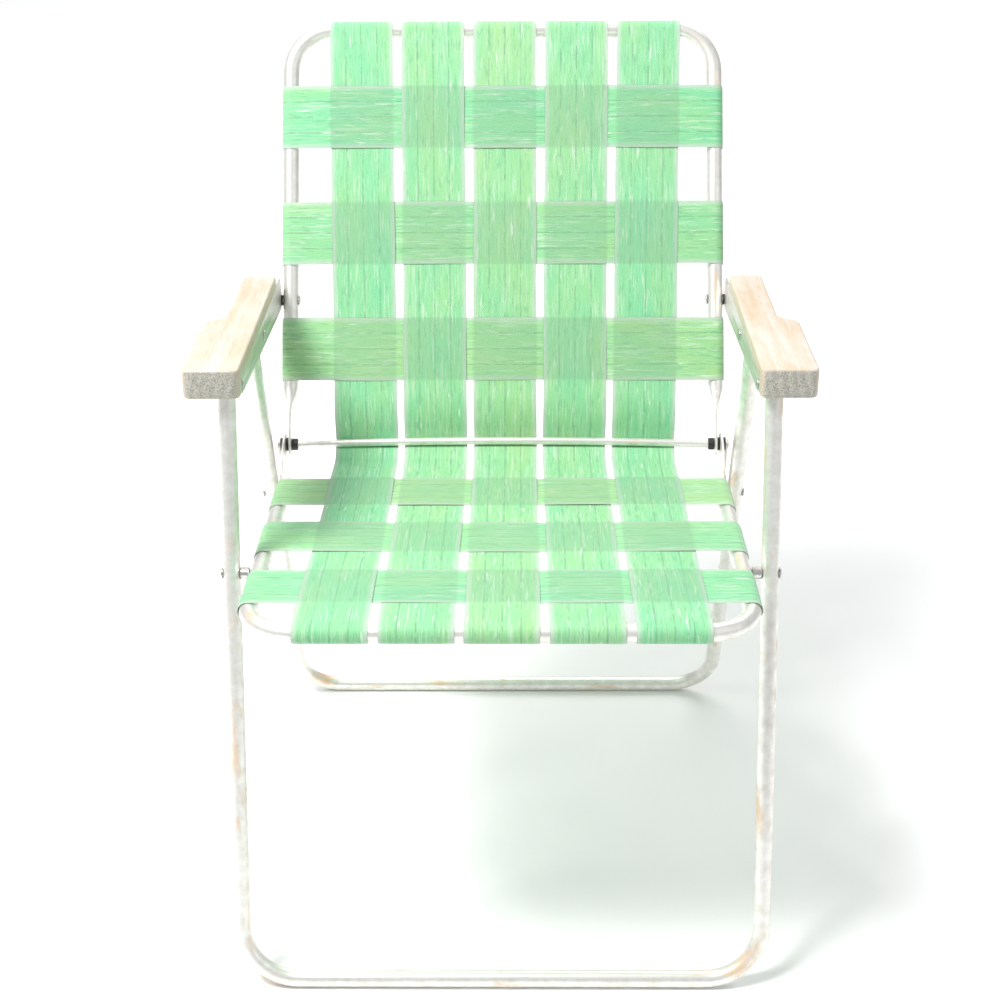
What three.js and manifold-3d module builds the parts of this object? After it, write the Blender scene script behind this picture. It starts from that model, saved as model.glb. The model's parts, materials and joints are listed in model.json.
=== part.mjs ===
// Folding webbed lawn chair, open on its four feet rails: bent aluminium tube frames, interwoven
// webbing, wooden arms on aluminium rails, and riveted pivots. Millimetres, +X right as seen from
// the front, +Y to the back, +Z up.
import * as THREE from 'three';
import { mergeVertices } from 'three/addons/utils/BufferGeometryUtils.js';
import Module from 'manifold-3d';

const wasm = await Module();
wasm.setup();

// Tube
const tubeRadius = 9.5;
const tubeWall = 1.3;
const crimpSeam = 0.8; // slit left inside a flattened tube end
const crimpHalfWidth = 13; // half of the flattened tube's width
const crimpSquareness = 5; // two is a round section, more is flatter with tighter corners
const funnelSquareness = 2.8;
const funnelThickShare = 0.62; // of the tube's radius, halfway to the flat tab
const tubeSides = 12;
const bendSteps = 7;

// Side view: places are [y, z] from the middle of the front foot rail's footprint
const frontFoot = [0, tubeRadius];
const rearFoot = [591, tubeRadius];
const armFrontPivot = [199, 642];
const armRearLegPivot = [365, 630];
const rodPlace = [438, 457.5];
const recline = THREE.MathUtils.degToRad(29.2);
const rodToArmPivot = 176;
const backLength = 507; // rod axis to the axis of the top rail
const seatPivotBelowArm = 202; // along the front leg
const linkPivotBelowArm = 262; // along the rear leg
const rodAboveRail = 27; // the rod's height over the seat rails' axes
const seatLength = 434; // rod to the axis of the seat's front rail

// Across the chair: distances from the middle to tube axes
const railX = 258;
const legX = 287;
const footCornerRadius = 62;
const rearCornerRadius = 58;
const seatCornerRadius = 56;
const backCornerRadius = 52;

// Ends of tubes
const frontLegEnd = 6; // tube past the arm pivot
const rearLegEnd = 9;
const tabEnd = 13; // flat tab past the rod
const backTabLength = 38;
const backFunnelLength = 34;
const seatTabLength = 42;
const seatFunnelLength = 24;
const seatTabShift = 6.5; // the seat's tabs stand outside the back's tabs
const seatTabShares = [0.25, 0.5, 1]; // stations along the tab
const seatRunShares = [1.6, 2]; // of the funnel's length, where the round rail is straight

// Pivots
const fit = 0.3; // running gap between neighbours
const rivetRadius = 3;
const headRadius = 6;
const headHeight = 2.2;
const flatHeadHeight = 1.8;
const headEdgeShare = 1 / 3; // of a head's height, up to where its dome starts
const spacerRadius = 6.5;
const washerRadius = 8;
const pinSides = 12;

// Cross rod
const rodRadius = 4.75;
const collarLength = 6.8; // between the bar's end and the flat tab
const rodBow = 4;
const rodRings = 9;
const collarRadius = 7.2;

// Link plates
const linkThickness = 2.4;
const linkHalfWidth = 9;
const linkInner = 269.6;

// Arms slope down to the back; heights below are over the front pivot, square to this slope
const armTilt = -THREE.MathUtils.degToRad(2.5);

// Arm rails: an angle whose upright side grows taller towards the back pivot
const angleThickness = 2;
const angleTop = 11.9;
const angleFlange = 20;
const angleFlangeStart = 14; // behind the front pivot, clear of the turning leg end
const angleEndRadius = 9;
const angleEndSweep = Math.PI / 7; // the rounded end runs up to this slope
const angleFrontDrop = 8; // lower edge under the front pivot
const angleShoulder = 4; // the top edge starts down this far before the back pivot
const railInner = 269.4;

// Wooden arms, routed out below for the rail and the leg ends
const armInner = 269.2;
const armThickness = 32;
const armRoutedAbove = 13.5; // wood left over the rail
const armRoutedWidth = 30;
const armNose = 13; // wood left in front of the routed part
const armFrontWidth = 59.8;
const armRearWidth = 38.4;
const armFrontOverhang = 27; // ahead of the front pivot
const armLength = 319;
const armShoulderShares = [0.46, 0.55]; // of the arm's length, where it narrows
const armEdge = 3;
const armCornerRadius = 9;
const screwRadius = 2;
const screwHeadRadius = 4;
const screwHeadHeight = 1.6;
const screwDepth = 8.5;
const screwShares = [0.304, 0.7806]; // of the arm's length, from its front

// Webbing
const webWidth = 76.2;
const webThickness = 1;
const webGap = 0.25;
const longCount = 5;
const longShift = 2.8; // the long straps were set a little to the right
const longPitchTop = 87.6;
const longPitchRod = 83.8; // they draw together at the rod
const longPitchFront = 85.8;
const backCrossShares = [0.6707, 0.2432]; // upper straps, in the length above the arm pivot
const backCrossLow = 115; // above the rod, between the flat tab and the arm pivot
const seatCrossShare = 0.3727; // front strap, in the length ahead of the seat pivot
const seatCrossPlaces = [227, 104]; // ahead of the rod
const backWeave = 1; // 1 where the first cross strap lies over the outer columns
const seatWeave = -1;
const webTail = 6; // end lying against the tube past the wrap
const wrapSteps = 9;
const webAboveRod = 34; // where the back webbing turns in behind the rod

const colours = {
  aluminium: 0xd9d6cf,
  rivet: 0xb9b8b4,
  black: 0x1d1d1e,
  wood: 0xcbb08a,
  web: [0x8fdcae, 0x97e0a6, 0xa4dfa0, 0x9be0a2, 0x93dfa8],
  webCross: [0x8fdba6, 0x9bdc9c, 0x96dba2],
};

const chair = new THREE.Group();
const sides = [['left', -1], ['right', 1]];

// Directions and places in the side view
const at = (x, place) => new THREE.Vector3(x, place[0], place[1]);
const along = (from, to, distance) => {
  const length = Math.hypot(to[0] - from[0], to[1] - from[1]);
  return from.map((v, i) => v + ((to[i] - v) * distance) / length);
};
const backDirection = [Math.sin(recline), Math.cos(recline)];
const backFront = [-backDirection[1], backDirection[0]];
const onBack = (height, ahead = 0) =>
  rodPlace.map((v, i) => v + backDirection[i] * height + backFront[i] * ahead);
const armBackPivot = onBack(rodToArmPivot);
const seatPivot = along(armFrontPivot, frontFoot, seatPivotBelowArm);
const linkPivot = along(armRearLegPivot, rearFoot, linkPivotBelowArm);

// The seat rails pass through the seat pivot and run rodAboveRail below the rod
const seatReach = Math.hypot(rodPlace[0] - seatPivot[0], rodPlace[1] - seatPivot[1]);
const seatAngle = Math.atan2(rodPlace[1] - seatPivot[1], seatPivot[0] - rodPlace[0])
  + Math.asin(rodAboveRail / seatReach);
const seatDirection = [Math.cos(seatAngle), -Math.sin(seatAngle)];
const seatUp = [-seatDirection[1], seatDirection[0]].map((v) => -v);
const onSeat = (ahead, up = 0) =>
  rodPlace.map((v, i) => v + seatDirection[i] * ahead + seatUp[i] * up);

function material(colour, roughness, metalness) {
  return new THREE.MeshStandardMaterial({ color: colour, roughness, metalness });
}

const finishes = {
  tube: () => material(colours.aluminium, 0.42, 0.9),
  rivet: () => material(colours.rivet, 0.35, 1),
  black: () => material(colours.black, 0.6, 0),
  wood: () => material(colours.wood, 0.7, 0),
  web: (colour) => material(colour, 0.62, 0),
};

function add(name, geometry, finish, parent = chair) {
  const mesh = new THREE.Mesh(geometry, finish);
  mesh.name = name;
  parent.add(mesh);
  return mesh;
}

// Solids joined and cut
function toSolid(geometry) {
  const bare = geometry.clone();
  bare.deleteAttribute('normal');
  bare.deleteAttribute('uv');
  const merged = mergeVertices(bare);
  return new wasm.Manifold(new wasm.Mesh({
    numProp: 3,
    vertProperties: new Float32Array(merged.attributes.position.array),
    triVerts: new Uint32Array(merged.index.array),
  }));
}

function toGeometry(solid) {
  const mesh = solid.getMesh();
  const geometry = new THREE.BufferGeometry();
  geometry.setAttribute('position', new THREE.BufferAttribute(mesh.vertProperties, mesh.numProp));
  geometry.setIndex(new THREE.BufferAttribute(mesh.triVerts, 1));
  geometry.computeVertexNormals();
  return geometry;
}

function cut(geometry, tools) {
  let solid = toSolid(geometry);
  for (const tool of tools) solid = solid.subtract(toSolid(tool));
  return toGeometry(solid);
}

// A cylinder across the chair between two distances from the middle
function crossCylinder(radius, xFrom, xTo, place) {
  const geometry = new THREE.CylinderGeometry(radius, radius, Math.abs(xTo - xFrom), pinSides);
  geometry.rotateZ(Math.PI / 2);
  geometry.translate((xFrom + xTo) / 2, place[0], place[1]);
  return geometry;
}

const holeOverrun = 4;
function pivotHole(side, axisX, place) {
  const reach = tubeRadius + holeOverrun;
  return crossCylinder(rivetRadius + fit, side * (axisX - reach), side * (axisX + reach), place);
}

// A revolved piece whose axis lies across the chair; profile points are [radius, distance out]
function turned(profile, side, place, steps = pinSides) {
  const points = profile.map(([r, x]) => new THREE.Vector2(r, x));
  const geometry = new THREE.LatheGeometry(points, steps);
  geometry.rotateZ(-side * Math.PI / 2);
  geometry.translate(0, place[0], place[1]);
  return geometry;
}

function ring(inner, outer, xFrom, xTo, side, place) {
  return turned([[inner, xFrom], [outer, xFrom], [outer, xTo], [inner, xTo], [inner, xFrom]], side, place);
}

// Domed head at the far end, a flat or domed head at the near end, or a plain pin end
function rivet(side, place, near, far, nearHead, farHead) {
  const profile = [[0, near - nearHead]];
  if (nearHead > 0) {
    profile.push([headRadius / 2, near - nearHead]);
    profile.push([headRadius, near - nearHead * headEdgeShare]);
    profile.push([headRadius, near]);
  }
  profile.push([rivetRadius, near], [rivetRadius, far]);
  profile.push([headRadius, far], [headRadius, far + farHead * headEdgeShare]);
  profile.push([headRadius / 2, far + farHead], [0, far + farHead]);
  return turned(profile, side, place);
}

// A loft of rings along a path that stays near one plane: `wide` stands along the plane's normal
function loftTube(stations, planeNormal, hollow = true) {
  const count = stations.length;
  const points = stations.map((s) => s.point);
  const tangents = points.map((p, i) => {
    const before = points[Math.max(i - 1, 0)];
    const after = points[Math.min(i + 1, count - 1)];
    const a = p.clone().sub(before).normalize();
    const b = after.clone().sub(p).normalize();
    return a.add(b).normalize();
  });
  const positions = [];
  const index = [];
  stations.forEach((station, i) => {
    const leaning = planeNormal.dot(tangents[i]);
    const across = planeNormal.clone().addScaledVector(tangents[i], -leaning).normalize();
    const normal = across.clone().cross(tangents[i]);
    const layers = hollow ? [0, station.wall ?? tubeWall] : [0];
    for (const inset of layers) {
      for (let k = 0; k < tubeSides; k += 1) {
        const angle = ((k + 0.5) / tubeSides) * 2 * Math.PI;
        const power = 2 / (station.flat ?? 2);
        const c = Math.sign(Math.cos(angle)) * Math.abs(Math.cos(angle)) ** power;
        const s = Math.sign(Math.sin(angle)) * Math.abs(Math.sin(angle)) ** power;
        const p = station.point.clone()
          .addScaledVector(normal, c * (station.thick - inset))
          .addScaledVector(across, s * (station.wide - inset));
        positions.push(p.x, p.y, p.z);
      }
    }
  });
  const perStation = tubeSides * (hollow ? 2 : 1);
  const vertex = (i, layer, k) => i * perStation + layer * tubeSides + (k % tubeSides);
  const quad = (a, b, c, d) => index.push(a, b, c, a, c, d);
  for (let i = 0; i < count - 1; i += 1) {
    for (let k = 0; k < tubeSides; k += 1) {
      quad(vertex(i, 0, k), vertex(i, 0, k + 1), vertex(i + 1, 0, k + 1), vertex(i + 1, 0, k));
      if (hollow) quad(vertex(i, 1, k + 1), vertex(i, 1, k), vertex(i + 1, 1, k), vertex(i + 1, 1, k + 1));
    }
  }
  for (let k = 0; k < tubeSides; k += 1) {
    const last = count - 1;
    if (hollow) {
      quad(vertex(0, 0, k + 1), vertex(0, 0, k), vertex(0, 1, k), vertex(0, 1, k + 1));
      quad(vertex(last, 0, k), vertex(last, 0, k + 1), vertex(last, 1, k + 1), vertex(last, 1, k));
    } else if (k > 0 && k < tubeSides - 1) {
      index.push(vertex(0, 0, 0), vertex(0, 0, k + 1), vertex(0, 0, k));
      index.push(vertex(last, 0, 0), vertex(last, 0, k), vertex(last, 0, k + 1));
    }
  }
  const geometry = new THREE.BufferGeometry();
  geometry.setAttribute('position', new THREE.Float32BufferAttribute(positions, 3));
  geometry.setIndex(index);
  geometry.computeVertexNormals();
  return geometry;
}

const crimpHalf = tubeWall + crimpSeam / 2;
const round = (point) => ({ point, wide: tubeRadius, thick: tubeRadius });
const flat = (point) => ({
  point, wide: crimpHalfWidth, thick: crimpHalf, flat: crimpSquareness,
});
const funnel = (point) => ({
  point,
  wide: (crimpHalfWidth + tubeRadius) / 2,
  thick: tubeRadius * funnelThickShare,
  flat: funnelSquareness,
});

// Stations of a bend between two straight runs
function bend(before, corner, after, radius) {
  const a = before.clone().sub(corner).normalize();
  const b = after.clone().sub(corner).normalize();
  const half = a.angleTo(b) / 2;
  const reach = radius / Math.tan(half);
  const middle = a.clone().add(b).normalize();
  const centre = corner.clone().addScaledVector(middle, radius / Math.sin(half));
  const start = corner.clone().addScaledVector(a, reach).sub(centre);
  const axis = b.clone().cross(a).normalize();
  const sweep = Math.PI - 2 * half;
  return Array.from({ length: bendSteps + 1 }, (_, i) =>
    centre.clone().add(start.clone().applyAxisAngle(axis, (sweep * i) / bendSteps)));
}

function uPath(leftEnd, leftCorner, rightCorner, rightEnd, radius) {
  return [
    ...bend(leftEnd, leftCorner, rightCorner, radius),
    ...bend(leftCorner, rightCorner, rightEnd, radius),
  ];
}

// Leg frames: a U on each side of the floor rail, hung from the arm rails
function legFrame(name, top, foot, pastPivot, radius, pivots) {
  const end = along(top, foot, -pastPivot);
  const planeNormal = at(0, [foot[1] - top[1], top[0] - foot[0]]).normalize();
  const path = uPath(at(-legX, end), at(-legX, foot), at(legX, foot), at(legX, end), radius);
  const stations = [at(-legX, end), ...path, at(legX, end)].map(round);
  const holes = pivots.flatMap((place) => sides.map(([, s]) => pivotHole(s, legX, place)));
  add(name, cut(loftTube(stations, planeNormal), holes), finishes.tube());
}

// The seat's rails rise to flat tabs that hold the rod; the back's lower ends are crimped flat
function seatFrame() {
  const tabX = railX + seatTabShift;
  const middle = seatTabLength + seatFunnelLength / 2;
  const [runFrom, runTo] = seatRunShares.map((share) => seatTabLength + seatFunnelLength * share);
  const dropAt = (ahead) => -rodAboveRail * THREE.MathUtils.smoothstep(ahead, tabEnd / 2, middle);
  const rear = (s) => {
    const place = (x, ahead) => at(s * x, onSeat(ahead, dropAt(ahead)));
    return [
      flat(place(tabX, -tabEnd)),
      ...seatTabShares.map((share) => flat(place(tabX, seatTabLength * share))),
      funnel(place((tabX + railX) / 2, middle)),
      round(place(railX, seatTabLength + seatFunnelLength)),
      round(place(railX, runFrom)),
    ];
  };
  const straight = (s) => at(s * railX, onSeat(runTo, -rodAboveRail));
  const corner = (s) => at(s * railX, onSeat(seatLength, -rodAboveRail));
  const path = uPath(straight(-1), corner(-1), corner(1), straight(1), seatCornerRadius);
  const stations = [...rear(-1), ...path.map(round), ...rear(1).reverse()];
  const holes = sides.flatMap(([, s]) => [
    pivotHole(s, railX, seatPivot),
    pivotHole(s, tabX, rodPlace),
  ]);
  add('seat_frame', cut(loftTube(stations, at(0, seatUp)), holes), finishes.tube());
}

function backFrame() {
  const lower = (s) => {
    const place = (height) => at(s * railX, onBack(height));
    return [
      flat(place(-tabEnd)),
      flat(place(backTabLength)),
      funnel(place(backTabLength + backFunnelLength / 2)),
      round(place(backTabLength + backFunnelLength)),
    ];
  };
  const straight = (s) => at(s * railX, onBack(rodToArmPivot));
  const corner = (s) => at(s * railX, onBack(backLength));
  const path = uPath(straight(-1), corner(-1), corner(1), straight(1), backCornerRadius);
  const stations = [...lower(-1), ...path.map(round), ...lower(1).reverse()];
  const holes = sides.flatMap(([, s]) => [
    pivotHole(s, railX, armBackPivot),
    pivotHole(s, railX, rodPlace),
  ]);
  add('back_frame', cut(loftTube(stations, at(0, backFront)), holes), finishes.tube());
}

// The rod: bowed bar with a thinner pin and a riveted head at each end
const tabFace = railX - crimpHalf;
const rodHalfLength = tabFace - fit - collarLength - 2 * fit;
const seatTabOuter = railX + seatTabShift + crimpHalf;
const rodHeadInner = linkInner + linkThickness + fit;

function crossRod() {
  const bar = Array.from({ length: rodRings }, (_, i) => {
    const share = (2 * i) / (rodRings - 1) - 1;
    const rise = rodBow * (1 - share * share);
    return {
      point: at(share * rodHalfLength, onBack(rise)), wide: rodRadius, thick: rodRadius,
    };
  });
  const pinEnd = (s, x, radius) => ({ point: at(s * x, rodPlace), wide: radius, thick: radius });
  const head = (s) => [
    pinEnd(s, rodHalfLength + fit, rivetRadius),
    pinEnd(s, rodHeadInner, rivetRadius),
    pinEnd(s, rodHeadInner + fit, headRadius),
    pinEnd(s, rodHeadInner + flatHeadHeight, headRadius),
  ];
  const stations = [...head(-1).reverse(), ...bar, ...head(1)];
  add('cross_rod', loftTube(stations, at(0, backFront), false), finishes.tube());
}

function rodPieces(name, side) {
  const sleeve = (piece, radius, from, to) =>
    add(`${piece}_${name}`, ring(rivetRadius + fit, radius, from, to, side, rodPlace), finishes.black());
  sleeve('rod_collar', collarRadius, rodHalfLength + 2 * fit, tabFace - fit);
  const gapFrom = railX + crimpHalf + fit;
  const gapTo = railX + seatTabShift - crimpHalf - fit;
  sleeve('rod_washer', washerRadius, gapFrom, gapTo);
  sleeve('link_washer', washerRadius, seatTabOuter + fit, linkInner - fit);
}

// Flat link from the rod's end to the rear leg
function link(name, side) {
  const length = Math.hypot(linkPivot[0] - rodPlace[0], linkPivot[1] - rodPlace[1]);
  const outline = new THREE.Shape();
  outline.absarc(0, 0, linkHalfWidth, Math.PI / 2, 1.5 * Math.PI);
  outline.absarc(length, 0, linkHalfWidth, -Math.PI / 2, Math.PI / 2);
  for (const x of [0, length]) {
    const hole = new THREE.Path();
    hole.absarc(x, 0, rivetRadius + fit, 0, 2 * Math.PI, true);
    outline.holes.push(hole);
  }
  const geometry = new THREE.ExtrudeGeometry(outline, {
    depth: linkThickness, bevelEnabled: false, curveSegments: 8,
  });
  geometry.rotateY(Math.PI / 2); // the plate's face now looks across the chair, its length along -Z
  geometry.rotateX(Math.atan2(linkPivot[0] - rodPlace[0], rodPlace[1] - linkPivot[1]));
  geometry.translate(side > 0 ? linkInner : -linkInner - linkThickness, rodPlace[0], rodPlace[1]);
  add(`link_${name}`, geometry, finishes.tube());
}

// Arms: local frame at the front pivot, +Y back along the arm's slope
const inArm = (place) => {
  const dy = place[0] - armFrontPivot[0];
  const dz = place[1] - armFrontPivot[1];
  const [c, s] = [Math.cos(armTilt), Math.sin(armTilt)];
  return [dy * c + dz * s, dz * c - dy * s];
};
const screwFlangeX = railInner + angleFlange / 2;
const armFront = -armFrontOverhang;
const armRear = armLength - armFrontOverhang;
const armTop = angleTop + fit + armRoutedAbove;
const screwPlaces = screwShares.map((share) => armFront + share * armLength);

function armRail(name, side, group) {
  const back = inArm(armBackPivot);
  const r = angleEndRadius;
  const profile = new THREE.Shape();
  profile.moveTo(-r, angleTop);
  profile.lineTo(-r - angleThickness, angleTop - angleThickness);
  profile.lineTo(-r - angleThickness, -angleFrontDrop / 2);
  profile.lineTo(-r / 2, -angleFrontDrop);
  profile.lineTo(back[0] - r / 2, back[1] - r);
  profile.absarc(back[0], back[1], r, -Math.PI / 2, angleEndSweep);
  profile.lineTo(back[0] - angleShoulder, angleTop);
  profile.closePath();
  const plate = new THREE.ExtrudeGeometry(profile, {
    depth: angleThickness, bevelEnabled: false, curveSegments: 6,
  });
  // Shape x, y and depth become the frame's Y, Z and X
  plate.applyMatrix4(new THREE.Matrix4().makeBasis(
    new THREE.Vector3(0, 1, 0), new THREE.Vector3(0, 0, 1), new THREE.Vector3(1, 0, 0),
  ));
  plate.translate(railInner, 0, 0);
  const flangeLength = armRear - armEdge - angleFlangeStart;
  const flange = new THREE.BoxGeometry(angleFlange, flangeLength, angleThickness);
  flange.translate(
    railInner + angleFlange / 2,
    angleFlangeStart + flangeLength / 2,
    angleTop - angleThickness / 2,
  );
  const [holeFrom, holeTo] = [railInner - holeOverrun, railInner + angleThickness + holeOverrun];
  const holes = [armFrontPivot, armRearLegPivot, armBackPivot].map((place) =>
    crossCylinder(rivetRadius + fit, holeFrom, holeTo, inArm(place)));
  for (const y of screwPlaces) {
    const hole = new THREE.CylinderGeometry(screwRadius + fit, screwRadius + fit, holeOverrun, pinSides);
    hole.rotateX(Math.PI / 2);
    hole.translate(screwFlangeX, y, angleTop - angleThickness / 2);
    holes.push(hole);
  }
  let solid = toSolid(plate).add(toSolid(flange));
  for (const hole of holes) solid = solid.subtract(toSolid(hole));
  add(`arm_rail_${name}`, mirrored(toGeometry(solid), side), finishes.tube(), group);
}

// Mirror a right-hand piece for the left side
function mirrored(geometry, side) {
  if (side > 0) return geometry;
  const copy = geometry.clone();
  copy.scale(-1, 1, 1);
  const flipped = copy.index ? copy : mergeVertices(copy);
  const order = flipped.index.array;
  for (let i = 0; i < order.length; i += 3) [order[i], order[i + 1]] = [order[i + 1], order[i]];
  flipped.computeVertexNormals();
  return flipped;
}

function woodenArm(name, side, group) {
  const [shoulderFrom, shoulderTo] = armShoulderShares.map((share) => armFront + share * armLength);
  const middle = (shoulderFrom + shoulderTo) / 2;
  const inner = armEdge;
  const wide = armFrontWidth - armEdge;
  const narrow = armRearWidth - armEdge;
  const front = armFront + armEdge;
  const rear = armRear - armEdge;
  const r = armCornerRadius;
  const outline = new THREE.Shape();
  outline.moveTo(inner, front + r);
  outline.quadraticCurveTo(inner, front, inner + r, front);
  outline.lineTo(wide - r, front);
  outline.quadraticCurveTo(wide, front, wide, front + r);
  outline.lineTo(wide, shoulderFrom);
  outline.bezierCurveTo(wide, middle, narrow, middle, narrow, shoulderTo);
  outline.lineTo(narrow, rear - r);
  outline.quadraticCurveTo(narrow, rear, narrow - r, rear);
  outline.lineTo(inner + r, rear);
  outline.quadraticCurveTo(inner, rear, inner, rear - r);
  outline.closePath();
  const slab = new THREE.ExtrudeGeometry(outline, {
    depth: armThickness - 2 * armEdge,
    bevelThickness: armEdge,
    bevelSize: armEdge,
    bevelSegments: 2,
    curveSegments: 6,
  });
  slab.translate(armInner, 0, armTop - armThickness + armEdge);
  const routedFrom = armFront + armNose;
  const routed = new THREE.BoxGeometry(2 * armRoutedWidth, 2 * armLength, armThickness);
  routed.translate(armInner, routedFrom + armLength, armTop - armRoutedAbove - armThickness / 2);
  const holeBottom = angleTop - holeOverrun;
  const holeTop = angleTop + screwDepth + fit;
  const holeRadius = screwRadius + fit;
  const holes = screwPlaces.map((y) => {
    const hole = new THREE.CylinderGeometry(holeRadius, holeRadius, holeTop - holeBottom, pinSides);
    hole.rotateX(Math.PI / 2);
    hole.translate(screwFlangeX, y, (holeTop + holeBottom) / 2);
    return hole;
  });
  add(`arm_${name}`, mirrored(cut(slab, [routed, ...holes]), side), finishes.wood(), group);
}

function armScrews(name, side, group) {
  const headTop = angleTop - angleThickness - fit;
  const tip = angleTop + screwDepth;
  screwPlaces.forEach((y, i) => {
    const profile = [
      [0, headTop - screwHeadHeight], [screwHeadRadius / 2, headTop - screwHeadHeight],
      [screwHeadRadius, headTop - screwHeadHeight * headEdgeShare], [screwHeadRadius, headTop],
      [screwRadius, headTop], [screwRadius, tip - screwRadius], [0, tip],
    ].map(([r, z]) => new THREE.Vector2(r, z));
    const geometry = new THREE.LatheGeometry(profile, pinSides);
    geometry.rotateX(Math.PI / 2);
    geometry.translate(side * screwFlangeX, y, 0);
    add(`arm_screw_${['front', 'rear'][i]}_${name}`, geometry, finishes.rivet(), group);
  });
}

function pivots(name, side) {
  const legInner = legX - tubeRadius - fit;
  const legOuter = legX + tubeRadius + fit;
  const railOuter = railInner + angleThickness + fit;
  const backInner = railX - tubeRadius - fit;
  const backOuter = railX + tubeRadius + fit;
  const linkOuter = linkInner + linkThickness + fit;
  const hold = (piece, geometry, finish) => add(`${piece}_${name}`, geometry, finish);
  const sleeve = (radius, from, to, place) =>
    ring(rivetRadius + fit, radius, from, to, side, place);
  const bright = finishes.rivet;
  for (const [pivot, place] of [['front_leg', armFrontPivot], ['rear_leg', armRearLegPivot]]) {
    const pin = rivet(side, place, railInner - fit, legOuter, flatHeadHeight, headHeight);
    hold(`${pivot}_rivet`, pin, bright());
    hold(`${pivot}_washer`, sleeve(washerRadius, railOuter, legInner, place), bright());
  }
  const backPin = rivet(side, armBackPivot, backInner, railOuter, headHeight, flatHeadHeight);
  hold('back_rivet', backPin, bright());
  hold('back_spacer', sleeve(spacerRadius, backOuter, railInner - fit, armBackPivot), finishes.black());
  hold('seat_rivet', rivet(side, seatPivot, backOuter, legOuter, 0, headHeight), bright());
  hold('seat_spacer', sleeve(spacerRadius, backOuter, legInner, seatPivot), bright());
  hold('link_rivet', rivet(side, linkPivot, linkOuter, legOuter, 0, headHeight), bright());
  hold('link_spacer', sleeve(spacerRadius, linkOuter, legInner, linkPivot), bright());
}

// Webbing: a flat strip swept along a line of [place, normal] pairs, its width across the line
function strip(line, widthDirection) {
  const positions = [];
  const index = [];
  line.forEach(({ point, normal }) => {
    for (const [w, n] of [[-1, -1], [1, -1], [1, 1], [-1, 1]]) {
      const p = point.clone()
        .addScaledVector(widthDirection, (w * webWidth) / 2)
        .addScaledVector(normal, (n * webThickness) / 2);
      positions.push(p.x, p.y, p.z);
    }
  });
  const quad = (a, b, c, d) => index.push(a, b, c, a, c, d);
  for (let i = 0; i < line.length - 1; i += 1) {
    for (let k = 0; k < 4; k += 1) {
      const a = i * 4 + k;
      const b = i * 4 + ((k + 1) % 4);
      quad(a, b, b + 4, a + 4);
    }
  }
  const last = (line.length - 1) * 4;
  quad(0, 3, 2, 1);
  quad(last, last + 1, last + 2, last + 3);
  const geometry = new THREE.BufferGeometry();
  geometry.setAttribute('position', new THREE.Float32BufferAttribute(positions, 3));
  geometry.setIndex(index);
  const solid = toSolid(geometry);
  if (solid.volume() < 0) {
    for (let i = 0; i < index.length; i += 3) [index[i], index[i + 1]] = [index[i + 1], index[i]];
    geometry.setIndex(index);
  }
  geometry.computeVertexNormals();
  return geometry;
}

const wrapRadius = tubeRadius + webGap + webThickness / 2;
const layer = webThickness / 2 + webGap / 2;
const weavePlane = wrapRadius + layer;

// Section of a web in its own plane: u runs along the strap, v stands off the tube axes
function sectionToLine(section, toPoint, toVector) {
  return section.map(([u, v], i) => {
    const before = section[Math.max(i - 1, 0)];
    const after = section[Math.min(i + 1, section.length - 1)];
    const du = after[0] - before[0];
    const dv = after[1] - before[1];
    const size = Math.hypot(du, dv);
    return { point: toPoint(u, v), normal: toVector(-dv / size, du / size) };
  });
}

// Half turn round a tube at u, from its far side to its near face; the run then leaves along `sense`
function wrap(u, sense) {
  const turn = Array.from({ length: wrapSteps + 1 }, (_, i) => {
    const angle = (Math.PI * i) / wrapSteps;
    return [u - sense * wrapRadius * Math.sin(angle), -wrapRadius * Math.cos(angle)];
  });
  return [[u + sense * webTail, -wrapRadius], ...turn];
}

const alternate = (i) => (i % 2 === 0 ? 1 : -1);

// Over and under the straps that lie across: over is +1 where this one is on the near side
function weave(places, firstOver) {
  const reach = (Math.sign(places[1] - places[0]) * (webWidth + webGap)) / 2;
  return places.flatMap((u, i) => {
    const v = weavePlane + firstOver * alternate(i) * layer;
    return [[u - reach, v], [u + reach, v]];
  });
}

const columns = Array.from({ length: longCount }, (_, i) => i - (longCount - 1) / 2);
const aboveArmPivot = backLength - rodToArmPivot;
const backCrosses = [
  ...backCrossShares.map((share) => rodToArmPivot + share * aboveArmPivot),
  backCrossLow,
];
const seatPivotAhead = Math.sqrt(seatReach * seatReach - rodAboveRail * rodAboveRail);
const seatCrosses = [
  seatPivotAhead + seatCrossShare * (seatLength - seatPivotAhead),
  ...seatCrossPlaces,
];
const columnX = (column, pitch) => longShift + column * pitch;
const onBackColumn = (column, height) =>
  columnX(column, THREE.MathUtils.lerp(longPitchRod, longPitchTop, height / backLength));
const onSeatColumn = (column, ahead) =>
  columnX(column, THREE.MathUtils.lerp(longPitchRod, longPitchFront, ahead / seatLength));
const acrossChair = new THREE.Vector3(1, 0, 0);
const vectorOf = (direction, normal) => (du, dv) =>
  new THREE.Vector3(0, direction[0] * du + normal[0] * dv, direction[1] * du + normal[1] * dv);

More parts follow.
